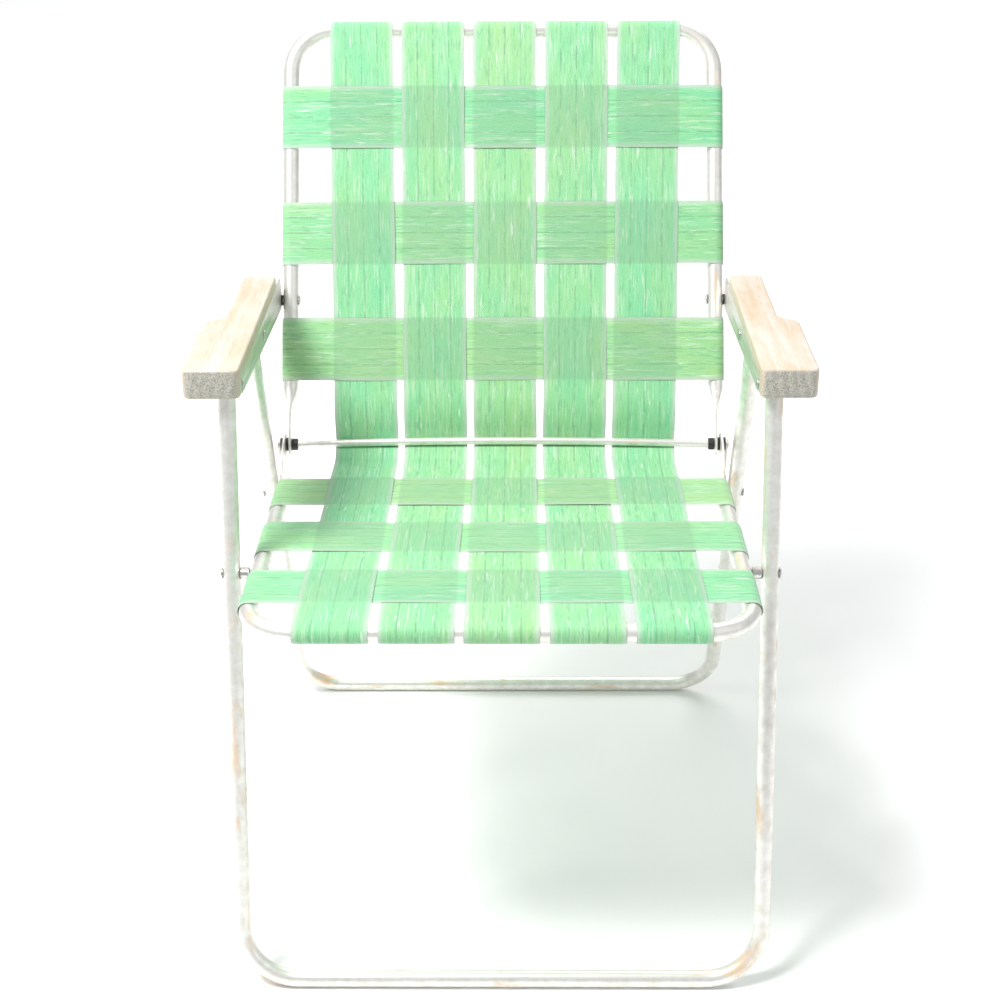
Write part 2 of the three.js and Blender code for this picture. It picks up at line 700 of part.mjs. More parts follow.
function longStraps() {
  const rodClear = rodRadius + webGap + webThickness / 2;
  columns.forEach((column, i) => {
    const over = alternate(i);
    const bowed = rodBow * (1 - (columnX(column, longPitchRod) / rodHalfLength) ** 2);
    const backSection = [
      ...wrap(backLength, -1),
      ...weave(backCrosses, -backWeave * over),
      [webAboveRod, weavePlane],
      [rodClear + bowed, -rodRadius],
      [0, -rodClear],
      [-rodRadius, -rodRadius],
    ];
    const backLine = sectionToLine(
      backSection,
      (u, v) => at(onBackColumn(column, u), onBack(u, v)),
      vectorOf(backDirection, backFront),
    );
    add(`back_strap_${i + 1}`, strip(backLine, acrossChair), finishes.web(colours.web[i]));

    const rearGap = rodRadius + webThickness;
    const seatSection = [
      ...wrap(seatLength, -1),
      ...weave(seatCrosses, -seatWeave * over),
      [rearGap, weavePlane],
      [-rodRadius, weavePlane],
      [-rodRadius - webThickness, weavePlane + rodRadius],
    ];
    const seatLine = sectionToLine(
      seatSection,
      (u, v) => at(onSeatColumn(column, u), onSeat(u, v - rodAboveRail)),
      vectorOf(seatDirection, seatUp),
    );
    add(`seat_strap_${i + 1}`, strip(seatLine, acrossChair), finishes.web(colours.web[i]));
  });
}

function crossStraps(prefix, crosses, firstOver, onColumn, place, normal, widthDirection) {
  crosses.forEach((u, i) => {
    const section = [
      ...wrap(-railX, 1),
      ...weave(columns.map((column) => onColumn(column, u)), firstOver * alternate(i)),
      ...wrap(railX, -1).reverse(),
    ];
    const line = sectionToLine(
      section,
      (x, v) => at(x, place(u, v)),
      (dx, dv) => new THREE.Vector3(dx, normal[0] * dv, normal[1] * dv),
    );
    add(`${prefix}_cross_strap_${i + 1}`, strip(line, widthDirection), finishes.web(colours.webCross[i]));
  });
}

legFrame('front_leg_frame', armFrontPivot, frontFoot, frontLegEnd, footCornerRadius,
  [armFrontPivot, seatPivot]);
legFrame('rear_leg_frame', armRearLegPivot, rearFoot, rearLegEnd, rearCornerRadius,
  [armRearLegPivot, linkPivot]);
seatFrame();
backFrame();
crossRod();
for (const [name, side] of sides) {
  const group = new THREE.Group();
  group.position.set(0, armFrontPivot[0], armFrontPivot[1]);
  group.rotation.x = armTilt;
  chair.add(group);
  woodenArm(name, side, group);
  armRail(name, side, group);
  armScrews(name, side, group);
  rodPieces(name, side);
  link(name, side);
  pivots(name, side);
}
longStraps();
crossStraps('back', backCrosses, backWeave, onBackColumn, onBack, backFront,
  new THREE.Vector3(0, ...backDirection));
const onSeatRails = (u, v) => onSeat(u, v - rodAboveRail);
crossStraps('seat', seatCrosses, seatWeave, onSeatColumn, onSeatRails, seatUp,
  new THREE.Vector3(0, ...seatDirection));

// The origin is under the middle of the chair, on the floor
const box = new THREE.Box3().setFromObject(chair);
chair.position.y = -(box.min.y + box.max.y) / 2;
chair.position.z = -box.min.z;

export default chair;
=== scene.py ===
# Folding webbed lawn chair: smooth bent tube frames, interwoven webbing, wooden arms,
# rivets, washers and links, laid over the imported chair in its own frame.
import json
import math

import bmesh
import bpy
import numpy as np
from mathutils import Matrix, Vector

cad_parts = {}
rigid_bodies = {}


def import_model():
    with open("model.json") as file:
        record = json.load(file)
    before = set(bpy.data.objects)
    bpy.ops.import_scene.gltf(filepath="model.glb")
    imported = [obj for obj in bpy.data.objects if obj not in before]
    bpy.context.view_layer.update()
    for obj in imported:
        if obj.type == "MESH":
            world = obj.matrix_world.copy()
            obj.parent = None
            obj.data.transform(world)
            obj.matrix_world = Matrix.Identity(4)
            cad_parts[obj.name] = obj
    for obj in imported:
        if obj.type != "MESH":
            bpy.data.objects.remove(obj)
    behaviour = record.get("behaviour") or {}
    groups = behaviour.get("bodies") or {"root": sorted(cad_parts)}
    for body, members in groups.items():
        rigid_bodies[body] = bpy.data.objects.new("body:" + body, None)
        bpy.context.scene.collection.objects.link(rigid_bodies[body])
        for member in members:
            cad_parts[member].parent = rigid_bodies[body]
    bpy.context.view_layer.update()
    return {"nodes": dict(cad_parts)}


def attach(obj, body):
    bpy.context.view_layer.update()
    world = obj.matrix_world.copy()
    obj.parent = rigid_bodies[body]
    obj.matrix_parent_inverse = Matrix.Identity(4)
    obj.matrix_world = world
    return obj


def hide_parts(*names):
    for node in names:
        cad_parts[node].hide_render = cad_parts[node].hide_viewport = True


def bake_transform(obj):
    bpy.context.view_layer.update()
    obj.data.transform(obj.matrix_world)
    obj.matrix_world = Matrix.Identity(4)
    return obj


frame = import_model()

bl_info = {
    "name": "Folding webbed lawn chair",
    "version": (1, 0, 0),
    "blender": (4, 5, 0),
    "location": "3D View > Sidebar > Lawn chair",
    "description": "Builds the tubes, webbing, arms and pivots of a folding lawn chair",
    "category": "Add Mesh",
}

MM = 0.001
SIDES = (("left", -1.0), ("right", 1.0))

# Side view of the chair in millimetres, [depth, height] from under the front foot rail,
# and the step from there to the frame that the chair was packed in
ROW_SHIFT = np.array([0.0, -343.2332, -0.0226])
TUBE_RADIUS = 9.5
FRONT_FOOT = np.array([0.0, 9.5])
REAR_FOOT = np.array([591.0, 9.5])
ARM_FRONT_PIVOT = np.array([199.0, 642.0])
ARM_REAR_PIVOT = np.array([365.0, 630.0])
ROD = np.array([438.0, 457.5])
RECLINE = math.radians(29.2)
ARM_PIVOT_HEIGHT = 176.0
BACK_LENGTH = 507.0
SEAT_PIVOT_DROP = 202.0
LINK_PIVOT_DROP = 262.0
ROD_OVER_RAIL = 27.0
SEAT_LENGTH = 434.0

# Across the chair, millimetres from the middle
RAIL_X = 258.0
LEG_X = 287.0
RAIL_INNER = 269.4
ARM_INNER = 269.2
LINK_INNER = 269.6
LINK_THICKNESS = 2.4

# Ends of the tubes: how far the legs pass their pivots, and the crimped tabs of the back and
# seat, with the funnel from each tab to the round tube
FRONT_LEG_END = 6.0
REAR_LEG_END = 9.0
TAB_END = 13.0
TAB_HALF_WIDTH = 13.0
TAB_HALF_THICKNESS = 1.7
BACK_TAB = 38.0
BACK_FUNNEL = 34.0
SEAT_TAB = 42.0
SEAT_FUNNEL = 24.0
SEAT_TAB_SHIFT = 6.5
FUNNEL_RINGS = 12
TUBE_START = 6.0  # past the funnel

# How square a ring is, from an ellipse to a flat tab with rounded edges
ROUND = 2.0
FLAT = 5.0

# A tab's clipped corners: [share of its length, share of its width]
TAB_CORNERS = ((0.0, 0.5), (0.05, 0.72), (0.13, 0.9), (0.24, 1.0))
TAB_STRAIGHT = ((0.5, 1.0), (0.75, 1.0))
SEAT_TAB_RINGS = (4.0, 38.0, 9)  # from, to, count

# Arms, square to their own slope from the front pivot
ARM_TILT = -math.radians(2.5)
ARM_TOP = 25.7
ARM_THICKNESS = 32.0
ARM_OVERHANG = 27.0
ARM_LENGTH = 319.0
ARM_FRONT_WIDTH = 59.8
ARM_REAR_WIDTH = 38.4
ARM_SHOULDER_SHARES = (0.46, 0.55)
ARM_ROUTED_ABOVE = 13.5
ARM_ROUTED_WIDTH = 30.0
ARM_NOSE = 13.0
ARM_EDGE_RINGS = 6
ANGLE_THICKNESS = 2.0
SCREW_SHARES = (0.304, 0.7806)  # of the arm's length, from its front
SCREW_OUT = 10.0  # from the angle's inner face
SCREW_HEIGHT = 9.6

# Webbing: pitches and places of the straps, and how they pass over and under each other
COLUMNS = (-2.0, -1.0, 0.0, 1.0, 2.0)
LONG_SHIFT = 2.8
LONG_PITCH_TOP = 87.6
LONG_PITCH_ROD = 83.8
LONG_PITCH_FRONT = 85.8
BACK_CROSSES = (398.0, 256.5, 115.0)
SEAT_CROSSES = (349.0, 227.0, 104.0)
BACK_WEAVE = 1.0  # the first cross strap starts over the long ones
SEAT_WEAVE = -1.0  # and here under them
WRAP_RADIUS = 10.25
WEAVE_PLANE = 10.9
WEB_TAIL = 6.0
LAYER = 0.72  # half the step from under a strap to over it
LAYER_MARGIN = 0.3  # past the crossing strap's edge
SEAT_SAG = 2.5
BACK_SAG = 2.0
BACK_SAG_FROM = 20  # up from the rod

# Where the long straps leave the weave for the rod: [along, ahead]
BACK_LEAVES = (40.0, WEAVE_PLANE)
SEAT_LEAVES = ((26.0, WEAVE_PLANE), (11.0, WEAVE_PLANE + 1.5))
ROD_CLEARANCE = 1.3
ROD_TURN = (-15, 80, 8)  # degrees from, to, count

# What counts as the sitter's side of the straps: past the tube's axis, and clear of the rod
FACE_OVER_AXIS = 4
BACK_FACE_FROM = 25
SEAT_FACE_FROM = 12
CROSSING_BLUR = 1.0

# A strap's section, and how its edges wander along it: [reach, wavelength over 2 pi]
RIB_CROWDING = 0.82  # of the points towards the edges
BAND_GROOVE = 0.12  # of the thickness, between the yarn bands
EDGE_SHARE, NEXT_SHARE = 0.45, 0.85  # of the thickness, at the edge and beside it
WANDER = ((0.3, 53.0), (0.2, 21.0))

# How far the pattern moves, so that a strap's two faces differ, and the straps from each other
UNDERSIDE_RUN = 900.0
STRAP_RUN = 100.0

# Rod and rivets
ROD_RADIUS = 4.75
ROD_HALF = 248.6
ROD_BOW = 4.0
ROD_RINGS = 41
ROD_FACETS = 24
PIN_RADIUS = 3.0
HEAD_RADIUS = 6.0
CORE = 0.05  # radius of the small cap that closes a turned shape on its axis
FIT = 0.3

# Faces that the pivots' pieces stand against, with that play, from the middle outwards
TUBE_INNER, TUBE_OUTER = RAIL_X - TUBE_RADIUS - FIT, RAIL_X + TUBE_RADIUS + FIT
ANGLE_OUTER = RAIL_INNER + ANGLE_THICKNESS + FIT
LINK_OUTER = LINK_INNER + LINK_THICKNESS + FIT
LEG_INNER, LEG_OUTER = LEG_X - TUBE_RADIUS - FIT, LEG_X + TUBE_RADIUS + FIT

# Edges sharper than this stay sharp
SHARP = math.radians(40.0)
SHARP_TURNED = math.radians(35.0)
SHARP_WOOD = math.radians(32.0)
SHARP_BAR = math.radians(50.0)
SHARP_STRAP = math.radians(80.0)

# How the bars' edges are broken, and where
BAR_EDGE = 0.35
BAR_EDGE_ANGLE = math.radians(32.0)

# Stage, in metres: each light's place, size and share of the key light's power
LIGHTS = (
    ("key_light", (-1.6, -0.9, 3.5), 1.1, 1.0),
    ("fill_light", (2.4, -1.6, 2.0), 2.5, 0.06),
    ("back_light", (0.3, 3.6, 3.6), 4.0, 0.9),
)
LIGHTS_AIM = 0.45  # above the floor
SKY_STRENGTH = 0.55
FLOOR_REACH = 14.0
SENSOR_WIDTH = 36.0
CAMERA_PLACE = (0.02034, -1.83009, 1.38488)
CAMERA_AXES = (
    (0.99993707, 0.00935751, -0.00618814),
    (0.00115879, 0.46249596, 0.88662063),
    (0.01115855, -0.88657201, 0.46245601),
)


def along(start, end, distance):
    """The place at a distance from start on the line to end."""
    return start + (end - start) * (distance / np.linalg.norm(end - start))


BACK_UP = np.array([math.sin(RECLINE), math.cos(RECLINE)])
BACK_AHEAD = np.array([-BACK_UP[1], BACK_UP[0]])
SEAT_PIVOT = along(ARM_FRONT_PIVOT, FRONT_FOOT, SEAT_PIVOT_DROP)
LINK_PIVOT = along(ARM_REAR_PIVOT, REAR_FOOT, LINK_PIVOT_DROP)
SEAT_REACH = np.linalg.norm(ROD - SEAT_PIVOT)
SEAT_ANGLE = math.atan2(ROD[1] - SEAT_PIVOT[1], SEAT_PIVOT[0] - ROD[0]) + math.asin(
    ROD_OVER_RAIL / SEAT_REACH
)
SEAT_AHEAD = np.array([math.cos(SEAT_ANGLE), -math.sin(SEAT_ANGLE)])
SEAT_UP = np.array([SEAT_AHEAD[1], -SEAT_AHEAD[0]])


def on_back(height, ahead=0.0):
    return ROD + BACK_UP * height + BACK_AHEAD * ahead


def on_seat(ahead, up=0.0):
    return ROD + SEAT_AHEAD * ahead + SEAT_UP * up


ARM_BACK_PIVOT = on_back(ARM_PIVOT_HEIGHT)


def at(x, place):
    """A point at a distance across the chair and a place in the side view."""
    return np.array([x, place[0], place[1]])


def to_row(points):
    """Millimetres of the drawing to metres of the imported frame."""
    return (np.asarray(points, float) + ROW_SHIFT) * MM


def smooth_step(t):
    t = np.clip(t, 0.0, 1.0)
    return t * t * (3.0 - 2.0 * t)


# Sizes and colours that a user would change


class ChairTube(bpy.types.PropertyGroup):
    foot_bend: bpy.props.FloatProperty(
        name="Front foot bend", description="Radius of the front leg frame's lower corners",
        default=0.062, min=0.02, max=0.12, unit="LENGTH",
    )
    rear_bend: bpy.props.FloatProperty(
        name="Rear foot bend", description="Radius of the rear leg frame's lower corners",
        default=0.058, min=0.02, max=0.12, unit="LENGTH",
    )
    seat_bend: bpy.props.FloatProperty(
        name="Seat bend", description="Radius of the seat frame's front corners",
        default=0.056, min=0.02, max=0.12, unit="LENGTH",
    )
    back_bend: bpy.props.FloatProperty(
        name="Back bend", description="Radius of the back frame's upper corners",
        default=0.052, min=0.02, max=0.12, unit="LENGTH",
    )
    facets: bpy.props.IntProperty(
        name="Facets", description="Faces round each tube", default=32, min=12, max=64,
    )


class ChairWebbing(bpy.types.PropertyGroup):
    width: bpy.props.FloatProperty(
        name="Width", description="Width of each strap",
        default=0.0762, min=0.05, max=0.08, unit="LENGTH",
    )
    thickness: bpy.props.FloatProperty(
        name="Thickness", description="Thickness of the woven strap",
        default=0.001, min=0.0006, max=0.0014, unit="LENGTH",
    )
    mint: bpy.props.FloatVectorProperty(
        name="Mint yarn", description="Colour of the bluer green yarn, as an sRGB colour",
        default=(0.45, 0.83, 0.63), min=0.0, max=1.0, subtype="COLOR_GAMMA",
    )
    spring: bpy.props.FloatVectorProperty(
        name="Spring green yarn",
        description="Colour of the yellower green yarn, as an sRGB colour",
        default=(0.68, 0.83, 0.54), min=0.0, max=1.0, subtype="COLOR_GAMMA",
    )


class ChairArm(bpy.types.PropertyGroup):
    edge: bpy.props.FloatProperty(
        name="Edge radius", description="Rounding of the wooden arm's edges",
        default=0.003, min=0.001, max=0.008, unit="LENGTH",
    )
    corner: bpy.props.FloatProperty(
        name="Corner radius", description="Rounding of the arm's corners seen from above",
        default=0.009, min=0.002, max=0.02, unit="LENGTH",
    )


class ChairPivot(bpy.types.PropertyGroup):
    head_height: bpy.props.FloatProperty(
        name="Rivet head", description="Height of a domed rivet head",
        default=0.0022, min=0.001, max=0.004, unit="LENGTH",
    )
    washer_radius: bpy.props.FloatProperty(
        name="Washer radius", description="Outer radius of the washers",
        default=0.008, min=0.005, max=0.01, unit="LENGTH",
    )
    collar_radius: bpy.props.FloatProperty(
        name="Collar radius", description="Outer radius of the black collars on the rod",
        default=0.0072, min=0.005, max=0.009, unit="LENGTH",
    )
    spacer_radius: bpy.props.FloatProperty(
        name="Spacer radius", description="Outer radius of the sleeves at the pivots",
        default=0.0065, min=0.005, max=0.009, unit="LENGTH",
    )


class ChairStage(bpy.types.PropertyGroup):
    lens: bpy.props.FloatProperty(
        name="Lens", description="Focal length of the camera", default=0.06327,
        min=0.02, max=0.2, subtype="DISTANCE_CAMERA",
    )
    key_power: bpy.props.FloatProperty(
        name="Key light", description="Power of the large soft light",
        default=150.0, min=0.0, max=2000.0, subtype="POWER", unit="POWER",
    )
    floor_colour: bpy.props.FloatVectorProperty(
        name="Floor", description="Colour of the floor, as an sRGB colour",
        default=(0.97, 0.97, 0.965), min=0.0, max=1.0, subtype="COLOR_GAMMA",
    )


# Colours and nodes


def linear(colour):
    """An sRGB colour, as a hex text or three shares, as linear red, green, blue and alpha."""
    if isinstance(colour, str):
        colour = [int(colour[i : i + 2], 16) / 255 for i in (1, 3, 5)]
    parts = [c / 12.92 if c <= 0.04045 else ((c + 0.055) / 1.055) ** 2.4 for c in colour]
    return (*parts, 1.0)


def node(tree, kind, inputs=None, **settings):
    """Adds a node with its settings; each input is linked from a socket or set to a value, or
    to the colour of a hex text."""
    made = tree.nodes.new(kind)
    for key, value in settings.items():
        setattr(made, key, value)
    for key, value in (inputs or {}).items():
        if isinstance(value, bpy.types.NodeSocket):
            tree.links.new(value, made.inputs[key])
        elif isinstance(value, str) and value.startswith("#"):
            made.inputs[key].default_value = linear(value)
        else:
            made.inputs[key].default_value = value
    return made


def finish_of(name, shader_values):
    """A new material with an empty tree but its shader and output."""
    material = bpy.data.materials.new(name)
    material.use_nodes = True
    tree = material.node_tree
    tree.nodes.clear()
    shader = node(tree, "ShaderNodeBsdfPrincipled", shader_values)
    node(tree, "ShaderNodeOutputMaterial", {"Surface": shader.outputs[0]})
    return material, tree, shader


def feed(tree, shader, sockets):
    """Links what the patterns give to the shader's own inputs."""
    for key, socket in sockets.items():
        tree.links.new(socket, shader.inputs[key])


# Finishes


def worn_tube():
    """Bright-dipped drawn aluminium tube, weathered: fine lines along the drawing direction,
    dull oxide mottling and warm tan stains that kill the shine where they sit."""
    material, tree, shader = finish_of("bright_drawn_aluminium_tube", {"Metallic": 1.0})
    lie = node(tree, "ShaderNodeAttribute", attribute_name="lie").outputs["Vector"]
    place = node(tree, "ShaderNodeTexCoord").outputs["Object"]
    # Drawing lines about 1.2 mm apart round the tube and 90 mm long, coarser than the real
    # ones so that they show
    lines = node(tree, "ShaderNodeTexNoise", {
        "Vector": node(tree, "ShaderNodeMapping", {
            "Vector": lie, "Scale": (820.0, 820.0, 11.0)}).outputs[0],
        "Scale": 1.0, "Detail": 3.0, "Roughness": 0.6}).outputs["Fac"]
    # Oxide in cloudy patches of 13 mm and less
    mottle = node(tree, "ShaderNodeTexNoise", {
        "Vector": place, "Scale": 75.0, "Detail": 6.0, "Roughness": 0.65}).outputs["Fac"]
    # Stains about 20 mm wide run up to 80 mm along the tube
    stain = node(tree, "ShaderNodeTexNoise", {
        "Vector": node(tree, "ShaderNodeMapping", {
            "Vector": lie, "Scale": (52.0, 52.0, 13.0)}).outputs[0],
        "Scale": 1.0, "Detail": 4.0, "Roughness": 0.55, "Distortion": 0.4}).outputs["Fac"]
    stained = node(tree, "ShaderNodeMapRange", {
        "Value": stain, "From Min": 0.55, "From Max": 0.71, "To Max": 0.6},
        interpolation_type="SMOOTHSTEP").outputs[0]
    dulled = node(tree, "ShaderNodeMapRange", {
        "Value": mottle, "From Min": 0.35, "From Max": 0.72}).outputs[0]
    colour = "#f7f6f2"
    for share, over in ((dulled, "#dfdcd3"), (stained, "#dcae78")):
        colour = node(tree, "ShaderNodeMix", {0: share, 6: colour, 7: over},
                      data_type="RGBA").outputs[2]
    bare = node(tree, "ShaderNodeMapRange", {
        "Value": stained, "From Max": 0.6, "To Min": 0.75, "To Max": 0.3}).outputs[0]
    rough = node(tree, "ShaderNodeMath", {
        0: lines, 1: 0.22, 2: 0.2}, operation="MULTIPLY_ADD").outputs[0]
    rough = node(tree, "ShaderNodeMath", {
        0: dulled, 1: 0.16, 2: rough}, operation="MULTIPLY_ADD").outputs[0]
    height = node(tree, "ShaderNodeMath", {
        0: mottle, 1: 0.5, 2: lines}, operation="MULTIPLY_ADD").outputs[0]
    bump = node(tree, "ShaderNodeBump", {
        "Height": height, "Strength": 0.35, "Distance": 0.0002}).outputs[0]
    feed(tree, shader, {
        "Base Color": colour, "Metallic": bare, "Roughness": rough, "Normal": bump})
    return material


def mill_plate():
    """Mill-finish aluminium angle and flat bar: extrusion lines along its length and the same
    grey oxide as the tubes."""
    material, tree, shader = finish_of("mill_finish_aluminium_bar", {"Metallic": 0.75})
    place = node(tree, "ShaderNodeTexCoord").outputs["Object"]
    # Extrusion lines run from front to back, about 1 mm apart
    lines = node(tree, "ShaderNodeTexNoise", {
        "Vector": node(tree, "ShaderNodeMapping", {
            "Vector": place, "Scale": (900.0, 18.0, 900.0)}).outputs[0],
        "Scale": 1.0, "Detail": 3.0}).outputs["Fac"]
    mottle = node(tree, "ShaderNodeTexNoise", {
        "Vector": place, "Scale": 90.0, "Detail": 5.0}).outputs["Fac"]
    colour = node(tree, "ShaderNodeMix", {0: mottle, 6: "#e9e7e2", 7: "#c4c1b8"},
                  data_type="RGBA").outputs[2]
    rough = node(tree, "ShaderNodeMath", {
        0: lines, 1: 0.25, 2: 0.24}, operation="MULTIPLY_ADD").outputs[0]
    bump = node(tree, "ShaderNodeBump", {
        "Height": lines, "Strength": 0.4, "Distance": 0.0002}).outputs[0]
    feed(tree, shader, {"Base Color": colour, "Roughness": rough, "Normal": bump})
    return material


def rivet_metal():
    """Set aluminium rivets, turned sleeves and screws: bright where the tool pressed them,
    with small greyer and duller spots."""
    material, tree, shader = finish_of("set_aluminium_rivet", {"Metallic": 1.0})
    place = node(tree, "ShaderNodeTexCoord").outputs["Object"]
    spots = node(tree, "ShaderNodeTexNoise", {
        "Vector": place, "Scale": 420.0, "Detail": 4.0}).outputs["Fac"]
    colour = node(tree, "ShaderNodeMix", {0: spots, 6: "#f0efec", 7: "#a9a69f"},
                  data_type="RGBA").outputs[2]
    rough = node(tree, "ShaderNodeMath", {
        0: spots, 1: 0.3, 2: 0.15}, operation="MULTIPLY_ADD").outputs[0]
    bump = node(tree, "ShaderNodeBump", {
        "Height": spots, "Strength": 0.3, "Distance": 0.0002}).outputs[0]
    feed(tree, shader, {"Base Color": colour, "Roughness": rough, "Normal": bump})
    return material


def black_nylon():
    """Moulded black nylon collars and washers: a soft sheen over a fine moulding grain,
    greyed a little by dust."""
    material, tree, shader = finish_of("moulded_black_nylon", {"IOR": 1.53})
    place = node(tree, "ShaderNodeTexCoord").outputs["Object"]
    grain = node(tree, "ShaderNodeTexNoise", {
        "Vector": place, "Scale": 900.0, "Detail": 2.0}).outputs["Fac"]
    dust = node(tree, "ShaderNodeTexNoise", {
        "Vector": place, "Scale": 120.0, "Detail": 4.0}).outputs["Fac"]
    colour = node(tree, "ShaderNodeMix", {0: dust, 6: "#101011", 7: "#2c2c2b"},
                  data_type="RGBA").outputs[2]
    rough = node(tree, "ShaderNodeMath", {
        0: dust, 1: 0.3, 2: 0.3}, operation="MULTIPLY_ADD").outputs[0]
    bump = node(tree, "ShaderNodeBump", {
        "Height": grain, "Strength": 0.3, "Distance": 0.0001}).outputs[0]
    feed(tree, shader, {"Base Color": colour, "Roughness": rough, "Normal": bump})
    return material


def arm_wood():
    """Sawn and clear-varnished pale hardwood gone dry in the sun: straight grain along the
    arm, darker bands, and open grey end grain with rings on the cut ends."""
    material, tree, shader = finish_of("sun_dried_varnished_hardwood", {
        "IOR": 1.5, "Coat Weight": 0.12, "Coat Roughness": 0.35})
    source = node(tree, "ShaderNodeTexCoord")
    place = source.outputs["Object"]
    # Growth bands about 10 mm wide that wander along the arm
    bands = node(tree, "ShaderNodeTexNoise", {
        "Vector": node(tree, "ShaderNodeMapping", {
            "Vector": place, "Scale": (95.0, 5.0, 95.0)}).outputs[0],
        "Scale": 1.0, "Detail": 4.0, "Distortion": 0.5}).outputs["Fac"]
    # Fibres and pores about 1 mm apart, coarser than real pores so that they show
    fibres = node(tree, "ShaderNodeTexNoise", {
        "Vector": node(tree, "ShaderNodeMapping", {
            "Vector": place, "Scale": (800.0, 22.0, 800.0)}).outputs[0],
        "Scale": 1.0, "Detail": 3.0, "Roughness": 0.7}).outputs["Fac"]
    banded = node(tree, "ShaderNodeMapRange", {
        "Value": bands, "From Min": 0.32, "From Max": 0.68}).outputs[0]
    pores = node(tree, "ShaderNodeMapRange", {
        "Value": fibres, "From Min": 0.42, "From Max": 0.78, "To Max": 0.5}).outputs[0]
    # Pale dry patches of 60 mm and less, where hands and weather wore the varnish off
    dry = node(tree, "ShaderNodeTexNoise", {
        "Vector": place, "Scale": 17.0, "Detail": 3.0}).outputs["Fac"]
    dried = node(tree, "ShaderNodeMapRange", {
        "Value": dry, "From Min": 0.42, "From Max": 0.66, "To Max": 0.55}).outputs[0]
    plank = "#cfc6bb"
    for share, over in ((banded, "#c6b094"), (pores, "#ac855f"), (dried, "#d2cbc2")):
        plank = node(tree, "ShaderNodeMix", {0: share, 6: plank, 7: over},
                     data_type="RGBA").outputs[2]
    # End grain looks along the arm: its rings are 10 mm apart, with open pores of 1.5 mm
    facing = node(tree, "ShaderNodeSeparateXYZ", {0: source.outputs["Normal"]}).outputs["Y"]
    ends = node(tree, "ShaderNodeMath", {0: facing}, operation="ABSOLUTE").outputs[0]
    ends = node(tree, "ShaderNodeMapRange", {
        "Value": ends, "From Min": 0.7, "From Max": 0.95}).outputs[0]
    rings = node(tree, "ShaderNodeTexWave", {
        "Vector": node(tree, "ShaderNodeMapping", {
            "Vector": place, "Location": (0.0, 0.0, -0.56)}).outputs[0],
        "Scale": 31.0, "Distortion": 3.0, "Detail": 2.0, "Detail Scale": 1.2},
        wave_type="RINGS", rings_direction="Y").outputs["Fac"]
    speck = node(tree, "ShaderNodeMapRange", {
        "Value": node(tree, "ShaderNodeTexNoise", {
            "Vector": place, "Scale": 700.0, "Detail": 2.0}).outputs["Fac"],
        "From Min": 0.42, "From Max": 0.66, "To Max": 0.7}).outputs[0]
    cut = "#c2bfb5"
    for share, over in ((rings, "#b4b1a7"), (speck, "#716d64")):
        cut = node(tree, "ShaderNodeMix", {0: share, 6: cut, 7: over},
                   data_type="RGBA").outputs[2]
    colour = node(tree, "ShaderNodeMix", {0: ends, 6: plank, 7: cut},
                  data_type="RGBA").outputs[2]
    rough = node(tree, "ShaderNodeMath", {
        0: fibres, 1: 0.25, 2: 0.42}, operation="MULTIPLY_ADD").outputs[0]
    bump = node(tree, "ShaderNodeBump", {
        "Height": fibres, "Strength": 0.45, "Distance": 0.0003}).outputs[0]
    feed(tree, shader, {"Base Color": colour, "Roughness": rough, "Normal": bump})
    return material


